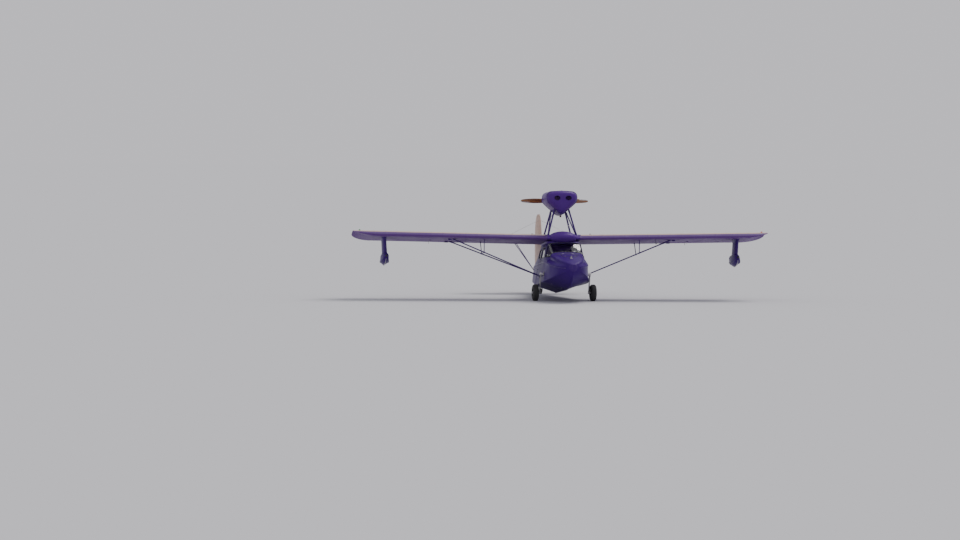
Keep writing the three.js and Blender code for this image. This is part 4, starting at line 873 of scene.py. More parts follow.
for t in angles(prop["bolts"], 0.5):
    spot = at(prop["boltCircle"] * math.cos(t), 0.053, prop["boltCircle"] * math.sin(t))
    propeller.bolt(propHub + spot, aftward, 0.009, 1)
propeller.turned([(0.004, -0.1695), (0.034, -0.1695), (0.034, -0.05), (0.004, -0.05)], propHub, aftward, 28,
                 1)
propeller.turned([(0.0005, 0.070), (0.020, 0.069), (0.034, 0.062), (0.040, 0.052), (0.0005, 0.052)],
                 propHub, aftward, 28, 1)
propeller.make("propeller_wood", [propWood, satinSteel], "propeller", stands=["propeller"])


print("wheels")
mainWheel = {"centre": at(0.770, 1.700, -0.060), "steps": 68, "tyreScale": 0.9937}
tyreHalf = [(0.2220, 0.0090), (0.2182, 0.0105), (0.2182, 0.0150), (0.2216, 0.0165), (0.2200, 0.0310),
            (0.2160, 0.0325), (0.2160, 0.0365), (0.2178, 0.0385), (0.2120, 0.0500), (0.2040, 0.0600),
            (0.1900, 0.0715), (0.1720, 0.0780), (0.1550, 0.0798), (0.1380, 0.0788), (0.1200, 0.0750),
            (0.1060, 0.0715), (0.1030, 0.0650), (0.0965, 0.0600), (0.0912, 0.0480)]
tyre = Shape()
tyreProfile = [(r * mainWheel["tyreScale"], -x) for r, x in tyreHalf]
tyreProfile += [(r * mainWheel["tyreScale"], x) for r, x in reversed(tyreHalf)]
tyre.turned(tyreProfile, mainWheel["centre"], athwart, mainWheel["steps"])
tyre.pair("tyre_rubber", tyreRubber, "wheel_%", "tyre", 24, ["tyre_%"])
rimHalf = [(0.0188, 0.060), (0.036, 0.060), (0.038, 0.058), (0.041, 0.030), (0.046, 0.022), (0.066, 0.017),
           (0.074, 0.019), (0.080, 0.030), (0.083, 0.045), (0.088, 0.049), (0.0895, 0.047), (0.0895, 0.040),
           (0.0875, 0.030), (0.086, 0.006)]
rim = Shape()
rim.turned([(r, x) for r, x in rimHalf] + [(r, -x) for r, x in reversed(rimHalf)], mainWheel["centre"],
           athwart, 60)
for t in angles(6):
    spoke = at(0, math.cos(t), math.sin(t))
    for side in (1, -1):
        rim.bolt(mainWheel["centre"] + spoke * 0.057 + at(side * 0.0195, 0, 0), (side, 0, 0), 0.0055, 1)
rim.tube([mainWheel["centre"] + at(0.030, 0.070, 0.0), mainWheel["centre"] + at(0.052, 0.073, 0.0)],
         [0.0042, 0.0036], 10, 1)  # valve
brakeProfile = [(0.044, -0.052), (0.072, -0.052), (0.072, -0.046), (0.044, -0.046)]
rim.turned(brakeProfile, mainWheel["centre"], athwart, 44, 1)
rim.pair("wheel_rim", [rimAlloy, satinSteel], "wheel_%", "rim_paint", 30, ["wheel_%"])


print("hull trim")
rail = {"below": 0.042, "width": 0.034, "height": 0.015, "from": 0.10, "to": 6.50, "screwPitch": 0.24}
hullTrim = Shape()
railRows = [(y, hullRow(y)[5] - rail["below"]) for y in spread(rail["from"], rail["to"], 90)]
railLaid = lay(hullSide, railRows)
ribbon(hullTrim, railLaid, rail["width"], rail["height"])
studs(hullTrim, railLaid, rail["screwPitch"], 0.0045, 1, lift=rail["height"])
hullTrim.pair("rub_rail", [strutEnamel, boltSteel], slot="strut_paint")

joint = {"width": 0.030, "rise": 0.0032, "studPitch": 0.055, "stud": 0.0024, "studLift": 0.003}
hullJoints = Shape()
for y in (1.15, 3.9, 4.6, 5.3, 5.95):  # butt straps down the sides and the deck edge
    sideRows = [(y, z) for z in spread(hullRow(y)[3] + 0.02, hullRow(y)[5] - rail["below"] - 0.02, 8)]
    strap = lay(hullSide, sideRows)
    ribbon(hullJoints, strap, joint["width"], joint["rise"])
    for off in (-0.009, 0.009):
        studs(hullJoints, lay(hullSide, [(py + off, z) for py, z in sideRows]), joint["studPitch"],
              joint["stud"], 1, lift=joint["studLift"])
for y in (0.5, 1.9, 2.6):
    bottomRows = [(y, share) for share in spread(0.06, 0.94, 10)]
    strap = lay(hullBottom, bottomRows, bottomMiddle)
    ribbon(hullJoints, strap, joint["width"], joint["rise"])
    studs(hullJoints, strap, joint["studPitch"], joint["stud"], 1, lift=joint["studLift"])
hullJoints.pair("hull_straps", [hullEnamel, boltSteel], slot="hull_paint")

drain = Shape()
for y, share in ((1.35, 0.20), (3.16, 0.14), (3.60, 0.16), (5.60, 0.30)):
    place, out = layOne(hullBottom, y, share, bottomMiddle)
    drain.turned([(0.0002, 0.004), (0.020, 0.004), (0.024, 0.0015), (0.024, -0.002), (0.0002, -0.002)], place,
                 out, 24)
    drain.bolt(place + out * 0.004, out, 0.008)
for y, z in ((2.75, 0.60), (4.2, 0.66)):  # bilge outlets
    place, out = layOne(hullSide, y, z)
    drain.turned([(0.009, -0.002), (0.022, -0.002), (0.022, 0.003), (0.014, 0.005), (0.013, 0.022),
                  (0.0095, 0.022)], place, out, 24)
drain.pair("hull_drains", satinSteel, slot="steel")

hatch = {"low": (-0.20, 0.60), "high": (0.20, 1.02), "corner": 0.06}
hatchPiece = Shape()
rim = lay(hullDeck, frameLoop(hatch["low"], hatch["high"], hatch["corner"]))
ribbon(hatchPiece, rim, 0.012, 0.006, 1, loop=True)
hatchRows = [[hullDeck(x * (0.965 if k in (0, 12) else 1), y) + at(0, 0, 0.0065)
              for x in spread(-0.193, 0.193, 14)] for k, y in enumerate(spread(0.607, 1.013, 12))]
hatchPiece.loft([[row[0] - at(0, 0, 0.004)] + row + [row[-1] - at(0, 0, 0.004)] for row in hatchRows])
for x in (-0.13, 0.13):
    hatchPiece.tube([hullDeck(x - 0.03, 1.012) + at(0, 0, 0.012),
                     hullDeck(x + 0.03, 1.012) + at(0, 0, 0.012)], 0.006, 12, 2)
    latch = hullDeck(x, 0.640) + at(0, 0, 0.0075)
    hatchPiece.turned([(0.0002, 0.003), (0.013, 0.003), (0.016, 0.0), (0.0002, 0.0)], latch, (0, -0.15, 1),
                      20, 2)
    hatchPiece.slab((latch.x - 0.011, latch.y - 0.0022, latch.z + 0.001),
                    (latch.x + 0.011, latch.y + 0.0022, latch.z + 0.0065), 0.001, 2)
hatchPiece.make("foredeck_hatch", [hullEnamel, sealRubber, satinSteel])

covers = Shape()
for y in (3.62, 4.30, 5.00):  # round inspection covers on the afterdeck
    place, out = layOne(hullDeck, 0.0, y)
    covers.turned([(0.0002, 0.0065), (0.050, 0.0065), (0.056, 0.004), (0.074, 0.003), (0.075, 0.0),
                   (0.0002, -0.001)], place, out, 40)
    side = out.orthogonal().normalized()
    for k in range(8):
        spoke = Matrix.Rotation(k * math.pi / 4, 3, out) @ side
        covers.turned([(0.0001, 0.0055), (0.0035, 0.005), (0.004, 0.003), (0.0001, 0.003)],
                      place + spoke * 0.066, out, 8, 1)
whipFoot = hullDeck(0.0, 4.66)
covers.turned([(0.0002, 0.030), (0.007, 0.030), (0.012, 0.010), (0.020, 0.004), (0.020, -0.002),
               (0.0002, -0.002)], whipFoot, (0, 0.1, 1), 20, 2)
covers.tube([whipFoot + at(0, 0.003, 0.028), whipFoot + at(0, 0.05, 0.30), whipFoot + at(0, 0.10, 0.56)],
            [0.0032, 0.0026, 0.0018], 8, 2)
covers.make("deck_covers", [hullEnamel, boltSteel, sealRubber])

bumper = Shape()
# place along the hull, how far ahead of it, how far outside it, and share of the section's size
bumperRings = [(0.0, 0.0100, 0.004, 0.35), (0.0, 0.0092, 0.004, 0.75), (0.0, 0.0070, 0.006, 0.94),
               (0.0, 0.0030, 0.009, 1.0), (0.004, 0.0, 0.0110, 1.0), (0.014, 0.0, 0.0115, 1.0),
               (0.024, 0.0, 0.0100, 1.0), (0.030, 0.0, 0.0060, 1.0), (0.033, 0.0, 0.0015, 1.0)]
bowHeart = 0.532
bumper.loft([[at(x * size, y - ahead, bowHeart + (z - bowHeart) * size) for x, z in hullSection(y, grow)]
             for y, ahead, grow, size in bumperRings])
bumper.make("bow_bumper", strutEnamel, smooth=50)

grip = Shape()
for y in (1.055, 1.100):
    ribbon(grip, lay(hullDeck, [(x, y) for x in spread(-0.30, 0.30, 90)]), 0.026, 0.0052)
grip.make("deck_grip", floorMat)


print("glazing")
glazing = {"seal": 0.020, "proud": 0.005, "screwPitch": 0.072, "screwOff": 0.021,
           "door": ((1.850, 0.880), (2.430, 1.135)), "rear": ((2.620, 0.900), (3.030, 1.110)),
           "shield": (1.240, 1.655, 0.880)}


def windowTrim(name, low, high, body):
    trim = Shape()
    rim = lay(hullSide, frameLoop(low, high, 0.012))
    ribbon(trim, rim, glazing["seal"], glazing["proud"], 0, loop=True)
    out = glazing["screwOff"]
    band = lay(hullSide, frameLoop((low[0] - out, low[1] - out), (high[0] + out, high[1] + out), 0.02))
    ribbon(trim, band, 0.026, 0.002, 1, loop=True)
    studs(trim, band, glazing["screwPitch"], 0.0032, 2, loop=True, lift=0.002)
    return trim.pair(name, [sealRubber, hullEnamel, boltSteel], body, "hull_paint")


windowTrim("door_glazing", *glazing["door"], "door_%")
windowTrim("rear_glazing", *glazing["rear"], "airframe")
front, rear, shieldLow = glazing["shield"]


def shieldSpot(y, turn):
    # over the roof of one section, from the port side (turn 0) to starboard (turn 1)
    half = [p for p in upperHalf(y) if p[1] >= shieldLow - 1e-6]
    half = [(sideX(y, shieldLow), shieldLow)] + half
    arc = half + [(-x, z) for x, z in reversed(half[:-1])]
    runs = runsAlong(arc)
    reach = min(max(turn, 0), 1) * runs[-1]
    return at(float(np.interp(reach, runs, [p[0] for p in arc])), y,
              float(np.interp(reach, runs, [p[1] for p in arc])))


shieldTrim = Shape()
loop = [(front, t) for t in spread(0, 1, 40)] + [(y, 1) for y in spread(front, rear, 10)[1:]]
loop += [(rear, 1 - t) for t in spread(0, 1, 48)[1:]]
loop += [(y, 0) for y in reversed(spread(front, rear, 10)[1:-1])]
path = [shieldSpot(y, t) for y, t in loop]
facing = []
for (y, t), p in zip(loop, path):
    a, b = shieldSpot(y, t - 0.01 if t > 0.5 else t), shieldSpot(y, t if t > 0.5 else t + 0.01)
    n = (b - a).cross(shieldSpot(y + 0.01, t) - shieldSpot(y - 0.01, t)).normalized()
    facing.append(n if n.dot(p - at(0, p.y, 0.8)) > 0 else -n)
ribbon(shieldTrim, (path, facing), 0.026, 0.006, 0, loop=True)
studs(shieldTrim, (path, facing), 0.085, 0.0034, 1, loop=True, lift=0.006)
shieldTrim.make("windshield_trim", [sealRubber, boltSteel])


print("nacelle")
# y, scale of the section, rise of its middle
nacelleLines = [(1.868, 0.4, 0.020), (1.876, 0.55, 0.015), (1.896, 0.7, 0.010), (1.936, 0.825, 0.005),
                (2.000, 0.91, 0.0), (2.100, 0.965, 0.0), (2.240, 0.992, 0.0), (2.400, 1.0, 0.0),
                (2.850, 0.99, 0.012), (3.000, 0.94, 0.032), (3.150, 0.84, 0.056), (3.290, 0.68, 0.080),
                (3.400, 0.5, 0.095)]
nacelleHalf = [(0, -0.362), (0.055, -0.343), (0.125, -0.283), (0.220, -0.200), (0.320, -0.112),
               (0.392, -0.040), (0.424, 0.030), (0.430, 0.090), (0.422, 0.160), (0.388, 0.222),
               (0.285, 0.271), (0, 0.287)]
nacelleMid = 2.390
nacelleRuns = runsAlong(nacelleHalf)
nacelleCurve = [row[1:] for row in eased([(run / nacelleRuns[-1], *point)
                                          for run, point in zip(nacelleRuns, nacelleHalf)], spread(0, 1, 44))]
cowl = {"seams": (2.060, 2.880), "split": 0.50, "strap": 0.026, "rise": 0.0035, "studPitch": 0.085,
        "louvres": 6, "louvreFrom": 2.945, "louvrePitch": 0.036}


def nacelleLoop(y, grow=0.0022):
    y, scale, lift = eased(nacelleLines, [y])[0]
    half = [(x * scale, nacelleMid + lift + z * scale) for x, z in nacelleCurve]
    return grownLoop(half + [(-x, z) for x, z in reversed(half[1:-1])], grow)


def nacelleSpot(y, share):
    # share runs from the keel (0) over the port side to the top (1), and on down the starboard side (2)
    loop = nacelleLoop(y)
    reach = share / 2 % 1 * len(loop)
    i = int(reach)
    x, z = loop[i] + (loop[(i + 1) % len(loop)] - loop[i]) * (reach - i)
    return at(x, y, z)


nacelleMiddle = lambda p: at(0, p.y, 2.42)
nacelleSkin = Shape()
skinPlaces = [(2.058, -0.001)] + [(y, 0.0022) for y in spread(2.058, 3.396, 60)] + [(3.399, -0.001)]
nacelleSkin.loft([[at(x, y, z) for x, z in nacelleLoop(y, grow)] for y, grow in skinPlaces], caps=False)
nacelleSkin.make("nacelle_skin", cowlEnamel, smooth=26)
cowlTrim = Shape()
for y in cowl["seams"]:
    ring = lay(nacelleSpot, [(y, share) for share in spread(0.02, 1.98, 96)], nacelleMiddle)
    ribbon(cowlTrim, ring, cowl["strap"], cowl["rise"])
    for off in (-0.0085, 0.0085):
        edge = lay(nacelleSpot, [(y + off, share) for share in spread(0.02, 1.98, 96)], nacelleMiddle)
        studs(cowlTrim, edge, cowl["studPitch"], 0.0036, 1, lift=0.003)
for share in (cowl["split"], 2 - cowl["split"]):  # side split with quarter-turn fasteners
    line = lay(nacelleSpot, [(y, share) for y in spread(cowl["seams"][0] + 0.02, cowl["seams"][1] - 0.02,
                                                        24)], nacelleMiddle)
    ribbon(cowlTrim, line, 0.018, 0.0022)
    for place, out in walk(line, 0.13, start=0.03):
        cowlTrim.turned([(0.0002, 0.0042), (0.0085, 0.0036), (0.010, 0.001), (0.010, -0.001)],
                        place + out * 0.002, out, 18, 1, closed=False)
hinge = lay(nacelleSpot, [(y, 1.0) for y in spread(cowl["seams"][0] + 0.02, cowl["seams"][1] - 0.02, 24)],
            nacelleMiddle)
cowlTrim.tube([p + at(0, 0, 0.0035) for p in hinge[0]], 0.0045, 10, 1)
ribbon(cowlTrim, hinge, 0.030, 0.0015)
rim = lay(nacelleSpot, frameLoop((2.50, 0.80), (2.64, 0.90), 0.02), nacelleMiddle)  # oil door
ribbon(cowlTrim, rim, 0.007, 0.003, 0, loop=True)
for place, out in walk(lay(nacelleSpot, [(2.515, 0.82), (2.515, 0.88)], nacelleMiddle), 0.04):
    cowlTrim.turned([(0.0002, 0.004), (0.007, 0.0035), (0.0085, 0.0)], place, out, 16, 1, closed=False)
for sideShare in (1, -1):
    for k in range(cowl["louvres"]):
        y = cowl["louvreFrom"] + k * cowl["louvrePitch"]
        rows = spread(0.34, 0.56, 8)
        shares = rows if sideShare > 0 else [2 - r for r in rows]
        lead, leadOut = lay(nacelleSpot, [(y, s) for s in shares], nacelleMiddle)
        trail, trailOut = lay(nacelleSpot, [(y + 0.021, s) for s in shares], nacelleMiddle)
        rings = []
        for i in range(len(rows)):
            rise = 0.011 * math.sin(math.pi * i / (len(rows) - 1)) ** 0.4 + 0.0004
            rings.append([lead[i] - leadOut[i] * 0.001, lead[i].lerp(trail[i],
                                                                     0.5) + leadOut[i] * rise * 0.75,
                          trail[i] + trailOut[i] * rise, trail[i] + trailOut[i] * (rise - 0.0016),
                          lead[i].lerp(trail[i], 0.5) + leadOut[i] * (rise * 0.75 - 0.0014)])
        cowlTrim.loft(rings)
cowlTrim.make("cowl_trim", [cowlEnamel, satinSteel])

inlet = {"x": 0.150, "z": 2.462, "halfWidth": 0.082, "halfHeight": 0.062, "meshY": 1.938, "wires": 13}


def noseY(x, z):
    # how far aft the nacelle's nose meets a point seen from ahead
    low, high = 1.868, 2.200
    for _ in range(24):
        y = (low + high) / 2
        scale, lift = (float(np.interp(y, [r[0] for r in nacelleLines], [r[k] for r in nacelleLines]))
                       for k in (1, 2))
        angle = math.atan2(abs(x), -(z - nacelleMid - lift))
        outline = [(math.atan2(px, -pz), math.hypot(px, pz)) for px, pz in nacelleHalf]
        reach = float(np.interp(angle, [a for a, _ in outline], [r for _, r in outline])) * scale
        low, high = (low, y) if reach > math.hypot(x, z - nacelleMid - lift) else (y, high)
    return (low + high) / 2


inletTrim = Shape()
for side in (1, -1):
    ring = []
    for t in angles(48):
        x = side * inlet["x"] + (inlet["halfWidth"] + 0.002) * math.cos(t)
        z = inlet["z"] + (inlet["halfHeight"] + 0.002) * math.sin(t)
        ring.append(at(x, noseY(x, z) - 0.001, z))
    inletTrim.tube(ring, 0.0058, 12, 0, loop=True)
    for k in range(1, inlet["wires"]):
        share = 2 * k / inlet["wires"] - 1
        x, reach = inlet["halfWidth"] * share, inlet["halfHeight"] * math.sqrt(1 - share**2)
        inletTrim.tube([(side * inlet["x"] + x, inlet["meshY"], inlet["z"] - reach),
                        (side * inlet["x"] + x, inlet["meshY"], inlet["z"] + reach)], 0.0011, 6, 1)
        z, reach = inlet["halfHeight"] * share, inlet["halfWidth"] * math.sqrt(1 - share**2)
        inletTrim.tube([(side * inlet["x"] - reach, inlet["meshY"] + 0.002, inlet["z"] + z),
                        (side * inlet["x"] + reach, inlet["meshY"] + 0.002, inlet["z"] + z)], 0.0011, 6, 1)
inletTrim.turned([(0.109, 3.399), (0.121, 3.399), (0.123, 3.402), (0.121, 3.405), (0.109, 3.405)],
                 at(0, 0, 2.480), aftward, 56, 0)
inletTrim.make("inlet_trim", [cowlEnamel, sootySteel])


print("pylon")
pylon = {"footX": 0.392, "top": (0.176, 2.226), "posts": ((0.270, 2.170), (1.180, 2.820)), "deep": 0.084,
         "thick": 0.046, "braceDeep": 0.056, "braceThick": 0.032}
pylonFeet = [wingPlace(pylon["footX"], aft, 0.100) for aft, topY in pylon["posts"]]
pylonTops = [at(pylon["top"][0], topY, pylon["top"][1]) for aft, topY in pylon["posts"]]
pylonTrim = Shape()
for foot, top in zip(pylonFeet, pylonTops):
    for low, high in ((0.055, 0.135), (0.85, 0.90)):
        cuff(pylonTrim, foot, top, low, high, pylon["deep"], pylon["thick"])
    for share in (0.082, 0.110):
        place = foot.lerp(top, share)
        pylonTrim.bolt(place + at(pylon["thick"] / 2 + 0.003, 0, 0), (1, 0, 0.2), 0.008, 1)
    pylonTrim.turned([(0.018, 0.0), (0.066, 0.0), (0.070, 0.006), (0.018, 0.012)],
                     foot.lerp(top, 0.035) - at(0, 0, 0.012), (top - foot).normalized(), 32)
for low, high in ((0.09, 0.14), (0.80, 0.84)):
    cuff(pylonTrim, pylonFeet[0], pylonTops[1], low, high, pylon["braceDeep"], pylon["braceThick"])
pylonTrim.pair("pylon_fittings", [strutEnamel, boltSteel], slot="strut_paint")
lines = Shape()
foot, top = pylonFeet[1], pylonTops[1]
for off, size in ((0.050, 0.0065), (0.064, 0.0045)):  # fuel pipe and engine control up the rear post
    lines.tube([foot.lerp(top, s) + at(0, off, 0) for s in spread(0.03, 0.93, 8)], size, 12)
for share in (0.22, 0.45, 0.68):
    place = foot.lerp(top, share)
    cuff(lines, foot, top, share, share + 0.018, pylon["deep"] + 0.002, pylon["thick"] + 0.002, 1)
    lines.slab((place.x - 0.008, place.y + 0.040, place.z - 0.002),
               (place.x + 0.008, place.y + 0.074, place.z + 0.012), 0.001, 1)
lines.make("pylon_pipes", [sealRubber, satinSteel])


print("struts")
wingStrut = {"deep": 0.078, "thick": 0.032, "cuffs": ((0.035, 0.075), (0.935, 0.965), (0.612, 0.628))}
strutFoot = at(0.585, 2.180, 0.398)
strutTops = [wingPlace(3.000, aft, 0.030) for aft in (0.300, 1.180)]
strutTrim = Shape()
for top in strutTops:
    for low, high in wingStrut["cuffs"]:
        cuff(strutTrim, strutFoot, top, low, high, wingStrut["deep"], wingStrut["thick"])
    for share in (0.045, 0.064, 0.95):
        place = strutFoot.lerp(top, share)
        for way in (1, -1):
            across = (top - strutFoot).normalized().cross(at(0, 1, 0)).normalized() * way
            strutTrim.bolt(place + across * 0.019, across, 0.0065, 1)
    for k in (-1, 1):
        strutTrim.bolt(top + at(0.046 * k, 0, -0.060 + 0.03), (k, 0, 0), 0.0065, 1)
for y in (2.115, 2.150, 2.210, 2.245):
    for z in (0.366, 0.414):
        strutTrim.bolt(at(0.6255, y, z), athwart, 0.0065, 1)
strutTrim.pair("strut_fittings", [strutEnamel, boltSteel], slot="strut_paint")


print("wing trim")
wingHeart = lambda p: at(p.x, p.y, wing["baseZ"] + 0.06 + (p.x - wing["rootX"]) * wing["dihedral"])


def wingSpot(places, heights):
    return lambda x, aft: wingPlace(x, aft, float(np.interp(aft / wing["chord"], places, heights)))


wingTopSpot, wingBellySpot = wingSpot(upperPlaces, upperHeights), wingSpot(lowerPlaces, lowerHeights)
wingTrim = Shape()
rootX = wing["rootX"] + 0.006
over = lay(wingTopSpot, [(rootX, aft) for aft in spread(0.004, 1.500, 60)], wingHeart)
under = lay(wingBellySpot, [(rootX, aft) for aft in spread(0.020, 1.500, 40)], wingHeart)
for laid in (over, under):
    ribbon(wingTrim, laid, 0.050, 0.0026)
    studs(wingTrim, laid, 0.075, 0.0032, 1, lift=0.0026)
for x, aft in ((0.90, 0.42), (2.43, 0.42), (3.95, 0.42), (3.00, 0.42), (2.43, 1.02), (4.17, 1.06)):
    place, out = layOne(wingBellySpot, x + 0.15, aft, wingHeart)
    wingTrim.turned([(0.0002, 0.0026), (0.046, 0.0026), (0.050, 0.0018), (0.060, 0.0006), (0.060, -0.002),
                     (0.0002, -0.004)], place, out, 36)
wingTrim.pair("wing_cover_strips", [wingViolet, boltSteel], slot="wing_fabric")

fuel = Shape()
place, out = layOne(wingTopSpot, 0.78, 0.46, wingHeart)
fuel.turned([(0.0002, 0.016), (0.012, 0.0165), (0.030, 0.015), (0.034, 0.012), (0.034, 0.006), (0.046, 0.005),
             (0.056, 0.002), (0.056, -0.003), (0.0002, -0.003)], place, out, 40)
fuel.slab((place.x - 0.024, place.y - 0.003, place.z + 0.014),
          (place.x + 0.024, place.y + 0.003, place.z + 0.026), 0.001)
place = layOne(wingTopSpot, 0.78, 0.52, wingHeart)[0]
fuel.tube([place, place + at(0, -0.004, 0.030), place + at(0, -0.026, 0.040)], 0.0035, 10)
fuel.pair("fuel_caps", satinSteel, slot="steel")

# a horn on each aileron and the push rod that works it, under the wing
hornX = 3.42
for word, side in bothSides:
    horn = Shape()
    hingeLine = wingPlace(hornX + 0.05, hingeAft, 0.040)
    horn.loft([[hingeLine + at(w, 0.000, -0.020), hingeLine + at(w, 0.075, -0.018),
                hingeLine + at(w, 0.030, -0.112), hingeLine + at(w, 0.012, -0.112)]
               for w in (-0.0025, 0.0025)])
    horn.eye(hingeLine + at(0, 0.021, -0.104), athwart, 0.007, 1)
    horn.make(f"aileron_horn_{word}", [satinSteel, boltSteel], f"aileron_{word}", side=side)
bellcrank = Shape()
exitAt = layOne(wingBellySpot, hornX + 0.05, 0.86, wingHeart)[0]
bellcrank.slab((exitAt.x - 0.014, exitAt.y - 0.050, exitAt.z - 0.016),
               (exitAt.x + 0.014, exitAt.y + 0.050, exitAt.z + 0.002), 0.004)
bellcrank.tube([exitAt + at(0, 0.02, -0.012), exitAt + at(0, 0.15, -0.052)], 0.0045, 12, 1)
bellcrank.pair("aileron_rod_fairing", [wingViolet, satinSteel], slot="wing_fabric")


print("floats")
floatSet = {"x": 4.720, "y": 1.830, "bottom": 0.672, "cant": math.radians(-3.5)}
# y, half width, keel, chine, top
floatLines = [(0, 0.012, 0.215, 0.228, 0.252), (0.050, 0.048, 0.150, 0.182, 0.292),
              (0.170, 0.080, 0.075, 0.128, 0.322), (0.400, 0.103, 0.014, 0.084, 0.336),
              (0.640, 0.106, 0.0, 0.076, 0.338)]
floatTail = [(0.642, 0.104, 0.026, 0.094, 0.338), (0.860, 0.084, 0.066, 0.124, 0.322),
             (1.050, 0.028, 0.150, 0.190, 0.280)]


def floatRow(y):
    return eased(floatLines if y <= floatLines[-1][0] else floatTail, [y])[0][1:]


def floatSide(y):
    # half width and height of the rounded top's foot, and height of its crown
    half, keelZ, chineZ, topZ = floatRow(y)
    return half * 0.98, chineZ + (topZ - chineZ) * 0.45, topZ


def floatLean(x, y, z):
    c, s = math.cos(floatSet["cant"]), math.sin(floatSet["cant"])
    return at(floatSet["x"] + x * c + z * s, floatSet["y"] + y, floatSet["bottom"] - x * s + z * c)


def floatTopSpot(y, turn):
    # turn 0 is the port side's widest line, 0.5 the top and 1 the inboard side
    half, sideZ, topZ = floatSide(y)
    t = math.pi * turn
    return floatLean(half * math.cos(t), y, sideZ + (topZ - sideZ) * math.sin(t))


def floatChineSpot(y, way):
    half, keelZ, chineZ, topZ = floatRow(y)
    return floatLean(half * way, y, chineZ)


floatMiddle = lambda p: floatLean(0, p.y - floatSet["y"], 0.20)
floatTrim = Shape()
for way in (1, -1):
    path = [floatChineSpot(y, way) for y in spread(0.03, 1.03, 50)]
    c, s = math.cos(floatSet["cant"]), math.sin(floatSet["cant"])
    ribbon(floatTrim, (path, [at(c * way, 0, -s * way)] * len(path)), 0.014, 0.006)
for y in (0.20, 0.86):
    band = lay(floatTopSpot, [(y, t) for t in spread(0.03, 0.97, 30)], floatMiddle)
    ribbon(floatTrim, band, 0.022, 0.0022)
    studs(floatTrim, band, 0.035, 0.0026, 1, lift=0.002)
for y in (0.30, 0.95):
    place, out = layOne(floatTopSpot, y, 0.5, floatMiddle)
    floatTrim.turned([(0.0002, 0.005), (0.024, 0.005), (0.028, 0.002), (0.034, 0.001), (0.034, -0.002),
                      (0.0002, -0.002)], place, out, 28, 1)
keelPath = [floatLean(0, y, floatRow(y)[1]) for y in spread(0.05, 0.639, 30)]
ribbon(floatTrim, (keelPath, [at(-math.sin(floatSet["cant"]), 0, -1)] * len(keelPath)), 0.016, 0.008, 1)
nose = [[floatLean(x * s, y, 0.234 + z * s) for x, z in
         ((0.020 * math.cos(t), 0.026 * math.sin(t)) for t in angles(20))]
        for y, s in ((-0.0085, 0.35), (-0.006, 0.75), (0.0, 1.0), (0.010, 1.28), (0.020, 1.42))]
floatTrim.loft(nose, 2)
floatTrim.tube([floatLean(0, 1.046 + 0.016 * math.sin(t), 0.222 + 0.016 * math.cos(t))
                for t in angles(18)], 0.003, 8, 1, loop=True)
floatTrim.pair("float_trim", [hullEnamel, satinSteel, sealRubber], slot="hull_paint")
floatStrut = {"x": 0.0125, "y": 0.497, "halfThick": 0.0685, "halfDeep": 0.281, "seal": 0.0055}
footTrim = Shape()
footRing = []
for t in angles(56):
    x = floatStrut["x"] + floatStrut["halfThick"] * math.sin(t)
    y = floatStrut["y"] + floatStrut["halfDeep"] * math.cos(t)
    half, sideZ, topZ = floatSide(y)
    footRing.append(floatLean(x, y, sideZ + (topZ - sideZ) * math.sqrt(1 - (x / half) ** 2) + 0.001))
footTrim.tube(footRing, floatStrut["seal"], 8, 0, loop=True)
footTrim.pair("float_strut_fillet", hullEnamel, slot="strut_paint")


print("tail")
tail = {"hingeZ": 1.570, "strutDeep": 0.040, "strutThick": 0.020, "wire": 0.0022,
        "finTop": at(0.010, 6.360, 2.120), "planeSpots": ((1.080, 6.060), (1.080, 6.400))}
wires = Shape()
for x, y in tail["planeSpots"]:  # bracing wires over the tailplane, with turnbuckles at their feet
    foot = at(x, y, tail["hingeZ"] + 0.026)
    top = tail["finTop"] + at(0.016, (y - 6.23) * 0.2, 0)
    wires.tube([foot, top], tail["wire"], 8)
    wires.tube([foot.lerp(top, 0.02), foot.lerp(top, 0.03), foot.lerp(top, 0.10), foot.lerp(top, 0.11)],
               [0.003, 0.0058, 0.0058, 0.003], 12)
    wires.slab((x - 0.012, y - 0.010, foot.z - 0.004), (x + 0.012, y + 0.010, foot.z + 0.004), 0.002)
    wires.bolt(foot + at(0, 0, 0.004), upward, 0.005)
    wires.tube([top + at(0.004, 0, 0), top - at(0.014, 0, 0)], 0.006, 12)
strutFootTail = at(0.186, 6.130, 0.705)
strutTopsTail = [at(0.760, 6.110, tail["hingeZ"]), at(0.760, 6.400, tail["hingeZ"])]
for top in strutTopsTail:
    for low, high in ((0.05, 0.09), (0.90, 0.94)):
        cuff(wires, strutFootTail, top, low, high, tail["strutDeep"], tail["strutThick"])
for y in (6.100, 6.160):
    wires.bolt(at(0.2005, y, 0.705), athwart, 0.0055)
wires.pair("tail_bracing", satinSteel, slot="steel")

rudderTrim = Shape()
for way in (1, -1):  # control horns low on the rudder, swept back to clear the stern
    plate = [at(way * 0.010, 6.650, 0), at(way * 0.106, 6.690, 0), at(way * 0.112, 6.708, 0),
             at(way * 0.010, 6.752, 0)]
    rudderTrim.loft([[p + at(0, 0, z) for p in plate] for z in (0.698, 0.702)])
    rudderTrim.eye(at(way * 0.103, 6.699, 0.700), upward, 0.006)
rudderTrim.make("rudder_horns", satinSteel, "rudder")
tailLamp = Shape()
tailLampAt = at(0, 7.303, 1.62)
tailLamp.turned([(0.0002, 0.030), (0.009, 0.028), (0.015, 0.021), (0.0175, 0.012), (0.0175, 0.002),
                 (0.0002, 0.002)], tailLampAt, aftward, 28)
tailLamp.turned([(0.0002, 0.004), (0.020, 0.004), (0.021, -0.004), (0.019, -0.022), (0.012, -0.044),
                 (0.0002, -0.060)], tailLampAt, aftward, 28, 1)
tailLamp.make("tail_lamp", [whiteLens, satinSteel], "rudder")
cables = Shape()
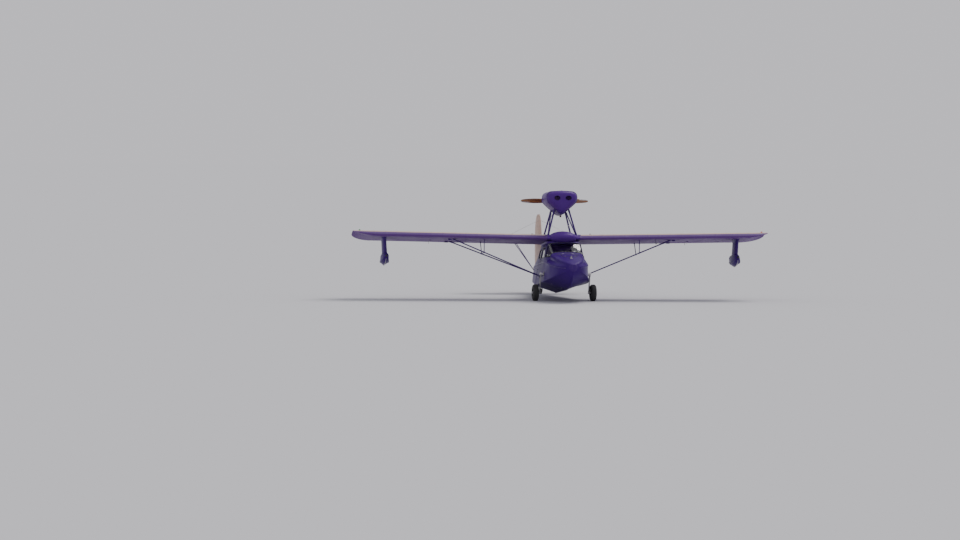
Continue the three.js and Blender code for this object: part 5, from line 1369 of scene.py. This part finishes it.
for way in (1, -1):
    ends = [at(way * (0.103 + (6.697 - y) * 0.07), y, 0.700) for y in spread(6.697, 6.557, 6)]
    cables.tube(ends + [at(way * 0.118, 6.30, 0.690), at(way * 0.136, 6.06, 0.684)], 0.0018, 8)
    cables.turned([(0.004, -0.02), (0.010, -0.012), (0.010, 0.010), (0.004, 0.02)],
                  at(way * 0.146, 6.02, 0.6835), (way * -0.075, 1, 0.02), 16)
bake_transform(cables.make("rudder_cables", satinSteel, body=None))

elevatorTrim = Shape()
elevatorTrim.loft([[at(w, 6.505, 1.560), at(w, 6.540, 1.560), at(w, 6.515, 1.470), at(w, 6.500, 1.470)]
                   for w in (0.058, 0.062)])
elevatorTrim.eye(at(0.060, 6.508, 1.478), athwart, 0.006)
tabSides = (0.62, 1.02)  # trim tab set in the port elevator
elevatorTrim.tube([at(x, 6.780, 1.5815) for x in tabSides], 0.0026, 8, 1)
for x in tabSides:
    elevatorTrim.tube([at(x, 6.780, 1.5815), at(x, 6.896, 1.5755)], 0.0014, 6, 1)
elevatorTrim.slab((0.808, 6.776, 1.580), (0.812, 6.806, 1.612), 0.001)
elevatorTrim.make("elevator_fittings", [satinSteel, sealRubber], "elevator")


print("landing gear")
gear = {"legX": 0.655, "legDeep": 0.064, "legThick": 0.034, "pivot": (1.500, 0.410),
        "wheel": (0.770, 1.700, -0.060)}
gearTrim = Shape()
pivot = at(gear["legX"], *gear["pivot"])
legEnd = at(gear["legX"], gear["wheel"][1], gear["wheel"][2])
gearTrim.turned([(0.0002, 0.0245), (0.020, 0.0245), (0.024, 0.021), (0.046, 0.0205), (0.048, 0.0185),
                 (0.0002, 0.0185)], pivot, athwart, 40)
gearTrim.bolt(pivot + at(0.0245, 0, 0), athwart, 0.012, 1)
for t in angles(6, 0.5):
    gearTrim.bolt(pivot + at(0.0205, 0.036 * math.cos(t), 0.036 * math.sin(t)), athwart, 0.004, 1)
gearTrim.turned([(0.040, -0.004), (0.070, -0.004), (0.074, 0.0), (0.070, 0.006), (0.040, 0.008)],
                at(sideX(1.5, 0.41), 1.5, 0.41), athwart, 40, 2)  # seal round the pivot
for low, high in ((0.13, 0.20), (0.88, 0.93)):
    cuff(gearTrim, pivot, legEnd, low, high, gear["legDeep"], gear["legThick"])
gearTrim.slab((0.703, 1.632, 0.002), (0.731, 1.700, 0.020), 0.004, 2)
gearTrim.slab((0.7005, 1.642, -0.004), (0.7155, 1.690, 0.022), 0.004, 2)
for y in (1.652, 1.680):
    gearTrim.bolt(at(0.7005, y, 0.010), (-1, 0, 0), 0.005, 1)
brakePipe = [(0.7005, 1.700, 0.012), (0.690, 1.712, 0.040), (0.681, 1.690, 0.110), (0.678, 1.640, 0.200),
             (0.678, 1.585, 0.310), (0.672, 1.552, 0.380), (0.640, 1.545, 0.428), (0.600, 1.545, 0.450)]
gearTrim.tube(brakePipe, 0.0042, 10, 3)
axleEnd = at(0.846, 1.700, -0.060)
gearTrim.turned([(0.0002, 0.004), (0.022, 0.003), (0.029, 0.0005), (0.029, -0.001), (0.0002, -0.001)],
                axleEnd, athwart, 32)
gearTrim.bolt(axleEnd + at(0.003, 0, 0), athwart, 0.009, 1)
gearTrim.pair("gear_fittings", [satinSteel, boltSteel, castAlloy, sealRubber], slot="steel")

tailGear = {"wheelY": 6.130, "wheelZ": 0.14607, "radius": 0.080, "forkOver": 0.046}
forkTop = tailGear["wheelZ"] + tailGear["radius"] + tailGear["forkOver"]
tailTrim = Shape()
for way in (1, -1):
    tailTrim.bolt(at(way * 0.050, tailGear["wheelY"], tailGear["wheelZ"]), (way, 0, 0), 0.007, 1)
    for y in (6.05, 6.11, 6.15):
        tailTrim.bolt(at(way * 0.030, y, forkTop), upward, 0.004, 1)
for z in (0.15, 0.185, 0.215):  # pressed stiffeners on the water rudder's blade
    for way in (1, -1):
        path = [at(way * 0.0045, y, z) for y in spread(6.262, 6.344, 8)]
        ribbon(tailTrim, (path, [at(way, 0, 0)] * len(path)), 0.010, 0.0022)
tailTrim.make("tail_fork_fittings", [satinSteel, boltSteel], "tail_fork")
tailTyre = Shape()
outline = [(0.0790, 0.0035), (0.0775, 0.0045), (0.0775, 0.0070), (0.0790, 0.0080), (0.0785, 0.0120),
           (0.0740, 0.0200), (0.0660, 0.0262), (0.0560, 0.0276), (0.0480, 0.0268), (0.0465, 0.0235)]
outline = [(r, -x) for r, x in outline] + [(r, x) for r, x in reversed(outline)]
tailTyre.turned(outline, at(0, tailGear["wheelY"], tailGear["wheelZ"]), athwart, 56)
hubHalf = [(0.0088, 0.0215), (0.020, 0.0215), (0.022, 0.018), (0.030, 0.013), (0.042, 0.016),
           (0.0462, 0.0215), (0.0474, 0.021), (0.0474, 0.0150)]
tailTyre.turned([(r, -x) for r, x in hubHalf] + [(r, x) for r, x in reversed(hubHalf)],
                at(0, tailGear["wheelY"], tailGear["wheelZ"]), athwart, 48, 1)
tailTyre.make("tail_wheel_tyre", [tyreRubber, rimAlloy], "tail_wheel", 24, ["tail_wheel"])


print("cabin")
panelFace = {"y": 1.3485, "dials": [
    # x, z, radius, needle turn in degrees
    (0.300, 0.905, 0.040, 215), (0.205, 0.905, 0.040, 130), (0.110, 0.905, 0.040, 20),
    (0.300, 0.812, 0.040, 310), (0.205, 0.812, 0.040, 250), (0.110, 0.812, 0.040, 70),
    (-0.110, 0.905, 0.030, 220), (-0.185, 0.905, 0.030, 235), (-0.260, 0.905, 0.030, 200),
    (-0.110, 0.835, 0.030, 160), (-0.185, 0.835, 0.030, 190)]}


def dialSpot(face, size, turn, share, rise):
    return face + at(math.sin(turn) * size * share, rise, -math.cos(turn) * size * share)


dials = Shape()
for x, z, size, turn in panelFace["dials"]:
    face = at(x, panelFace["y"], z)
    dials.turned([(size, -0.002), (size * 1.16, -0.002), (size * 1.16, 0.005), (size * 1.02, 0.009),
                  (size, 0.007)], face, aftward, 36, 0)
    dials.turned([(0.0002, 0.003), (size * 1.005, 0.003), (size * 1.005, -0.002), (0.0002, -0.002)], face,
                 aftward, 36, 1)
    for k in range(12):
        t = math.radians(k * 27 + 31)
        dials.tube([dialSpot(face, size, t, share, 0.0034) for share in (0.74, 0.9)],
                   size * (0.03 if k % 3 == 0 else 0.018), 5, 2)
    t = math.radians(turn)
    dials.tube([dialSpot(face, size, t, share, 0.0046) for share in (-0.2, 0.68)],
               [size * 0.035, size * 0.012], 6, 2)
    dials.turned([(0.0002, 0.0068), (size * 0.09, 0.0060), (size * 0.09, 0.003), (0.0002, 0.003)], face,
                 aftward, 16, 0)
    for k in range(4):
        t = math.radians(45 + 90 * k)
        dials.screws([face + at(math.cos(t) * size * 1.3, 0.0002, math.sin(t) * size * 1.3)], aftward, 0.0032,
                     3)
for k in range(6):  # switches and knobs under the starboard dials
    foot = at(-0.095 - k * 0.034, panelFace["y"], 0.775)
    dials.turned([(0.0002, 0.004), (0.0065, 0.004), (0.0075, 0.0), (0.0002, 0.0)], foot, aftward, 16, 3)
    dials.tube([foot + at(0, 0.003, 0), foot + at(0, 0.018, 0.006 if k % 2 else -0.006)], [0.0018, 0.0030],
               10, 3)
dials.slab((-0.335, panelFace["y"] - 0.002, 0.800), (-0.225, panelFace["y"] + 0.010, 0.868), 0.003, 0)
for x in (-0.318, -0.242):
    dials.turned([(0.0002, 0.026), (0.010, 0.025), (0.011, 0.010), (0.0002, 0.010)],
                 at(x, panelFace["y"], 0.834), aftward, 24, 0)
for x, z in ((0.0, 0.905), (0.0, 0.835)):  # throttle and mixture plungers
    dials.tube([at(x, panelFace["y"], z), at(x, panelFace["y"] + 0.050, z)], 0.0045, 12, 3)
    dials.turned([(0.0002, 0.072), (0.014, 0.070), (0.020, 0.061), (0.018, 0.051), (0.006, 0.047),
                  (0.0002, 0.047)], at(x, panelFace["y"], z), aftward, 28, 0)
dials.make("panel_instruments", [panelBlack, dialBlack, dialWhite, boltSteel])

pedal = {"places": (0.155, 0.345), "half": 0.035, "front": 1.262, "face": 1.272, "low": 0.262, "high": 0.372,
         "ribs": 4, "ribHalf": 0.032, "ribPitch": 0.024, "barHalf": 0.385, "barY": 1.312, "barZ": 0.166}
fittings = Shape()
for x in [side * place for place in pedal["places"] for side in (1, -1)]:
    fittings.slab((x - pedal["half"], pedal["front"], pedal["low"]),
                  (x + pedal["half"], pedal["face"], pedal["high"]), 0.003, 0)
    for k in range(pedal["ribs"]):
        rise = k * pedal["ribPitch"]
        fittings.slab((x - pedal["ribHalf"], pedal["face"], 0.276 + rise),
                      (x + pedal["ribHalf"], pedal["face"] + 0.004, 0.286 + rise), 0.001, 1)
    fittings.tube([at(x, 1.266, 0.268), at(x, 1.300, 0.200), at(x, pedal["barY"], 0.156)], 0.007, 12, 0)
fittings.tube([at(x, pedal["barY"], pedal["barZ"]) for x in (-pedal["barHalf"], pedal["barHalf"])], 0.009, 14,
              0)
for side in (1, -1):
    x = side * pedal["barHalf"]
    fittings.slab((x - 0.012, 1.292, 0.1495), (x + 0.012, 1.334, 0.182), 0.003, 0)
fittings.make("rudder_pedals", [satinSteel, sealRubber])

mat = Shape()
matSpec = {"half": 0.335, "low": 0.1502, "high": 0.1560, "runs": ((1.345, 1.430), (1.550, 1.922))}
for fore, after in matSpec["runs"]:
    mat.slab((-matSpec["half"], fore, matSpec["low"]), (matSpec["half"], after, matSpec["high"]), 0.002)
for x in spread(-0.32, 0.32, 32):
    mat.slab((x - 0.003, 1.556, 0.1558), (x + 0.003, 1.916, 0.1580), 0.001)
mat.make("floor_mat", floorMat)

yoke = {"x": 0.250, "y": 1.600, "z": 0.720, "radius": 0.105, "arcs": ((-55, 55), (125, 235)), "steps": 22,
        "thin": 0.0112, "swell": 0.0022, "ridge": 0.0008}
grips = Shape()
for side in (1, -1):
    middle = at(side * yoke["x"], yoke["y"], yoke["z"])
    for low, high in yoke["arcs"]:
        path = [middle + at(yoke["radius"] * math.cos(t), 0, yoke["radius"] * math.sin(t))
                for t in map(math.radians, spread(low, high, yoke["steps"]))]
        radius = [yoke["thin"] + yoke["swell"] * math.sin(math.pi * k / yoke["steps"]) ** 0.5
                  + (yoke["ridge"] if k % 2 else 0) for k in range(yoke["steps"] + 1)]
        grips.tube(path, radius, 18, 0)
    grips.turned([(0.0002, 0.020), (0.026, 0.019), (0.030, 0.015), (0.030, 0.0075), (0.0002, 0.0075)], middle,
                 aftward, 36, 0)
grips.make("wheel_grips", sealRubber)

# glare shield: a padded lip over the panel
lip = Shape()
arc = [shieldSpot(1.338, t) for t in spread(0.10, 0.90, 40)]
inner = [at(p.x * 0.90, 1.352, 0.985 - (p.x * 0.9)**2 * 0.05) for p in arc]
lip.tube(inner, 0.011, 14)
lip.make("glare_lip", seatPiping)


print("seats")
# how far the cloth may swell, its voxels and steps, half a sewn channel's width, and the gap at the middle
seats = {"swell": 0.026, "voxel": 0.0085, "steps": 20, "channel": 0.0045, "middleGap": 0.002}
clothSettings = {"quality": 5, "mass": 0.2, "tension_stiffness": 12, "compression_stiffness": 12,
                 "shear_stiffness": 5, "bending_stiffness": 0.6, "use_pressure": True,
                 "uniform_pressure_force": 4.0}
# low and high corners in the hull's lines, rounding, rings, lean, sewn channels, and the room for the pad
cushionSpec = {"low": (0.012, 1.938, 0.334), "high": (0.452, 2.400, 0.418), "corner": 0.050, "rings": 10,
               "lean": 0.0, "across": (0.155, 0.310), "room": 0.464, "front": 1.905, "under": 0.3315}
backSpec = {"low": (0.010, 2.466, 0.345), "high": (0.408, 2.556, 0.948), "corner": 0.045, "rings": 26,
            "lean": 0.16, "across": (0.135, 0.265), "room": 0.418, "rear": 2.5665, "rearFrom": 0.3303,
            "under": 0.3325}


def padRings(spec):
    # closed soft block as rings from the bottom up, its edges well rounded
    (x0, y0, z0), (x1, y1, z1) = spec["low"], spec["high"]
    corner, steps, lean = spec["corner"], spec["rings"], spec["lean"]
    rings = []
    for k in range(steps + 1):
        t = k / steps
        edge = min(corner, (z1 - z0) / 2 * 0.8)
        z = z0 + (z1 - z0) * t
        rise = min(z - z0, z1 - z)
        pull = edge - math.sqrt(max(0.0, edge**2 - max(0.0, edge - rise) ** 2))
        shift = (z - z0) * lean
        ring = []
        r = max(min(corner, (x1 - x0) / 2, (y1 - y0) / 2) * 0.9, 0.01)
        for cx, cy, start in ((x1 - r, y1 - r, 0), (x0 + r, y1 - r, 90), (x0 + r, y0 + r, 180),
                              (x1 - r, y0 + r, 270)):
            for a in range(0, 91, 15):
                turn = math.radians(start + a)
                ring.append(at(cx + (r - pull) * math.cos(turn), cy + (r - pull) * math.sin(turn) + shift, z))
        rings.append(ring)
    return rings


def stitched(piece, spec):
    # vertex weights that hold the sewn channels while the cloth swells
    group = piece.vertex_groups.new(name="stitched")
    toHull = hullToRow.inverted()
    held = [v.index for v in piece.data.vertices if min(abs(abs((toHull @ v.co).x) - spec["low"][0] - a)
                                                        for a in spec["across"]) < seats["channel"]]
    group.add(held, 1.0, "REPLACE")
    return group


def swollen(piece, spec, limitAt):
    # voxel mesh, cloth under pressure, capped motion, one subdivision
    remesh = piece.modifiers.new("voxels", "REMESH")
    remesh.mode = "VOXEL"
    remesh.voxel_size = seats["voxel"]
    applied(piece)
    start = [v.co.copy() for v in piece.data.vertices]
    group = stitched(piece, spec)
    cloth = piece.modifiers.new("cloth", "CLOTH")
    for key, value in clothSettings.items():
        setattr(cloth.settings, key, value)
    cloth.settings.vertex_group_mass = group.name
    cloth.settings.effector_weights.gravity = 0
    cloth.collision_settings.use_collision = False
    cloth.point_cache.frame_start, cloth.point_cache.frame_end = 1, seats["steps"]
    for step in range(1, seats["steps"] + 1):
        bpy.context.scene.frame_set(step)
    applied(piece)
    bpy.context.scene.frame_set(1)
    for v, was in zip(piece.data.vertices, start):
        move = v.co - was
        if move.length > seats["swell"]:
            v.co = was + move.normalized() * seats["swell"]
    toHull = hullToRow.inverted()
    for v in piece.data.vertices:
        v.co = hullToRow @ limitAt(toHull @ v.co)
    piece.modifiers.new("finer", "SUBSURF").levels = 1
    applied(piece)
    piece.data.shade_smooth()


def applied(piece):
    # bakes the modifiers into the piece's own mesh
    graph = bpy.context.evaluated_depsgraph_get()
    graph.update()
    done = bpy.data.meshes.new_from_object(piece.evaluated_get(graph))
    piece.modifiers.clear()
    old = piece.data
    piece.data = done
    bpy.data.meshes.remove(old)


def sideways(x, spec):
    # keeps a pad on its own side of the middle and inside the cabin
    return min(max(abs(x), seats["middleGap"]), spec["room"]) * (1 if x > 0 else -1)


def cushionLimit(p):
    return at(sideways(p.x, cushionSpec), max(p.y, cushionSpec["front"]), max(p.z, cushionSpec["under"]))


def backLimit(p):
    rear = backSpec["rear"] + (p.z - backSpec["rearFrom"]) * backSpec["lean"]
    return at(sideways(p.x, backSpec), min(p.y, rear), max(p.z, backSpec["under"]))


for word, side in bothSides:
    for name, node, spec, limitAt in (("seat_pad", "seat_cushion", cushionSpec, cushionLimit),
                                      ("backrest", "seat_back", backSpec, backLimit)):
        pad = Shape()
        pad.loft(padRings(spec))
        piece = pad.make(f"{name}_{word}", seatTweed, side=side,
                         stands=[node] if side > 0 else ())
        swollen(piece, spec, limitAt)


def smoothCurve(path, count):
    return [at(*row[1:]) for row in eased([(i, *p) for i, p in enumerate(path)],
                                          spread(0, len(path) - 1, count))]


belts = Shape()
for x in (0.035, 0.425):  # lap straps lying over the cushion
    inward = 1 if x < 0.2 else -1
    path = [at(x, 2.405, 0.350), at(x, 2.390, 0.415), at(x + inward * 0.015, 2.340, 0.452),
            at(x + inward * 0.075, 2.230, 0.458), at(x + inward * 0.155, 2.120, 0.459)]
    curve = smoothCurve(path, 32)
    ribbon(belts, (curve, [at(0, 0.25 if i < 8 else 0, 1).normalized() for i in range(len(curve))]), 0.045,
           0.0022, 0, sink=0.0008)
belts.slab((0.175, 2.075, 0.4595), (0.245, 2.130, 0.4700), 0.003, 1)
belts.slab((0.188, 2.088, 0.4695), (0.232, 2.118, 0.4735), 0.002, 1)
for x in (0.12, 0.30):  # shoulder straps down the back
    path = [at(x, 2.650, 0.985), at(x, 2.600, 0.985), at(x, 2.535, 0.950), at(x, 2.500, 0.840),
            at(x, 2.470, 0.640), at(x, 2.440, 0.520)]
    curve = smoothCurve(path, 34)
    facing = [at(0, -0.35, 0.9).normalized() if i < 8 else at(0, -1, 0.16).normalized()
              for i in range(len(curve))]
    ribbon(belts, (curve, facing), 0.044, 0.0022, 0, sink=0.0008)
    belts.slab((x - 0.026, 2.434, 0.500), (x + 0.026, 2.446, 0.540), 0.002, 1)
belts.pair("seat_belts", [beltWebbing, satinSteel], slot="seat_fabric")


print("stage, lights and camera")
# The floor's colour and the sky's are matched so that no horizon shows.
stageSet = {"floor": 600.0, "floorColour": (0.545, 0.555, 0.577), "skyColour": (0.70, 0.69, 0.73),
            "skyPower": 1.0, "sunPower": 2.1, "sunFrom": (0.42, 0.30, 0.86), "sunSoftness": 34,
            "sunColour": (1.0, 0.95, 0.92)}
floorMesh = bpy.data.meshes.new("floor")
reach = stageSet["floor"]
floorMesh.from_pydata([(-reach, -reach, 0), (reach, -reach, 0), (reach, reach, 0), (-reach, reach, 0)], [],
                      [(0, 1, 2, 3)])
floorPiece = bpy.data.objects.new("floor", floorMesh)
bpy.context.scene.collection.objects.link(floorPiece)
floorMesh.materials.append(Finish("paleFloor").surface(colour=stageSet["floorColour"], rough=1.0,
                                                       specular=0.0))
sun = bpy.data.objects.new("softSun", bpy.data.lights.new("softSun", "SUN"))
sun.data.energy = stageSet["sunPower"]
sun.data.angle = math.radians(stageSet["sunSoftness"])
sun.data.color = stageSet["sunColour"]
sun.rotation_euler = (-Vector(stageSet["sunFrom"])).to_track_quat("-Z", "Y").to_euler()
bpy.context.scene.collection.objects.link(sun)
world = bpy.data.worlds.new("studio")
bpy.context.scene.world = world
world.use_nodes = True
world.node_tree.nodes["Background"].inputs[0].default_value = (*stageSet["skyColour"], 1)
world.node_tree.nodes["Background"].inputs[1].default_value = stageSet["skyPower"]

# The photograph's frame is 960 by 540 pixels, and the middle of the wing lies at wingPixel in it.
photo = {"width": 960, "height": 540, "wingPixel": (559.7, 238.3), "metresPerPixel": 0.02667,
         "azimuth": -7.0, "elevation": 2.0, "roll": 0.5, "distance": 95.0, "sensor": 36.0, "reach": 1000,
         "wingMiddle": (0, 2.45, 1.40)}
wingMiddle = hullToRow @ Vector(photo["wingMiddle"])
azimuth, elevation = math.radians(photo["azimuth"]), math.radians(photo["elevation"])
back = Vector((math.sin(azimuth) * math.cos(elevation), -math.cos(azimuth) * math.cos(elevation),
               math.sin(elevation)))
right = Vector((math.cos(azimuth), math.sin(azimuth), 0))
up = back.cross(right)
aside = (photo["width"] / 2 - photo["wingPixel"][0]) * photo["metresPerPixel"]
above = (photo["wingPixel"][1] - photo["height"] / 2) * photo["metresPerPixel"]
aim = wingMiddle + right * aside + up * above
camera = bpy.data.objects.new("camera", bpy.data.cameras.new("camera"))
camera.data.sensor_width = photo["sensor"]
camera.data.lens = photo["sensor"] * photo["distance"] / (photo["width"] * photo["metresPerPixel"])
camera.location = aim + back * photo["distance"]
level = (-back).to_track_quat("-Z", "Y").to_matrix()
camera.rotation_euler = (Matrix.Rotation(math.radians(photo["roll"]), 3, back) @ level).to_euler()
camera.data.clip_end = photo["reach"]
bpy.context.scene.collection.objects.link(camera)
bpy.context.scene.camera = camera
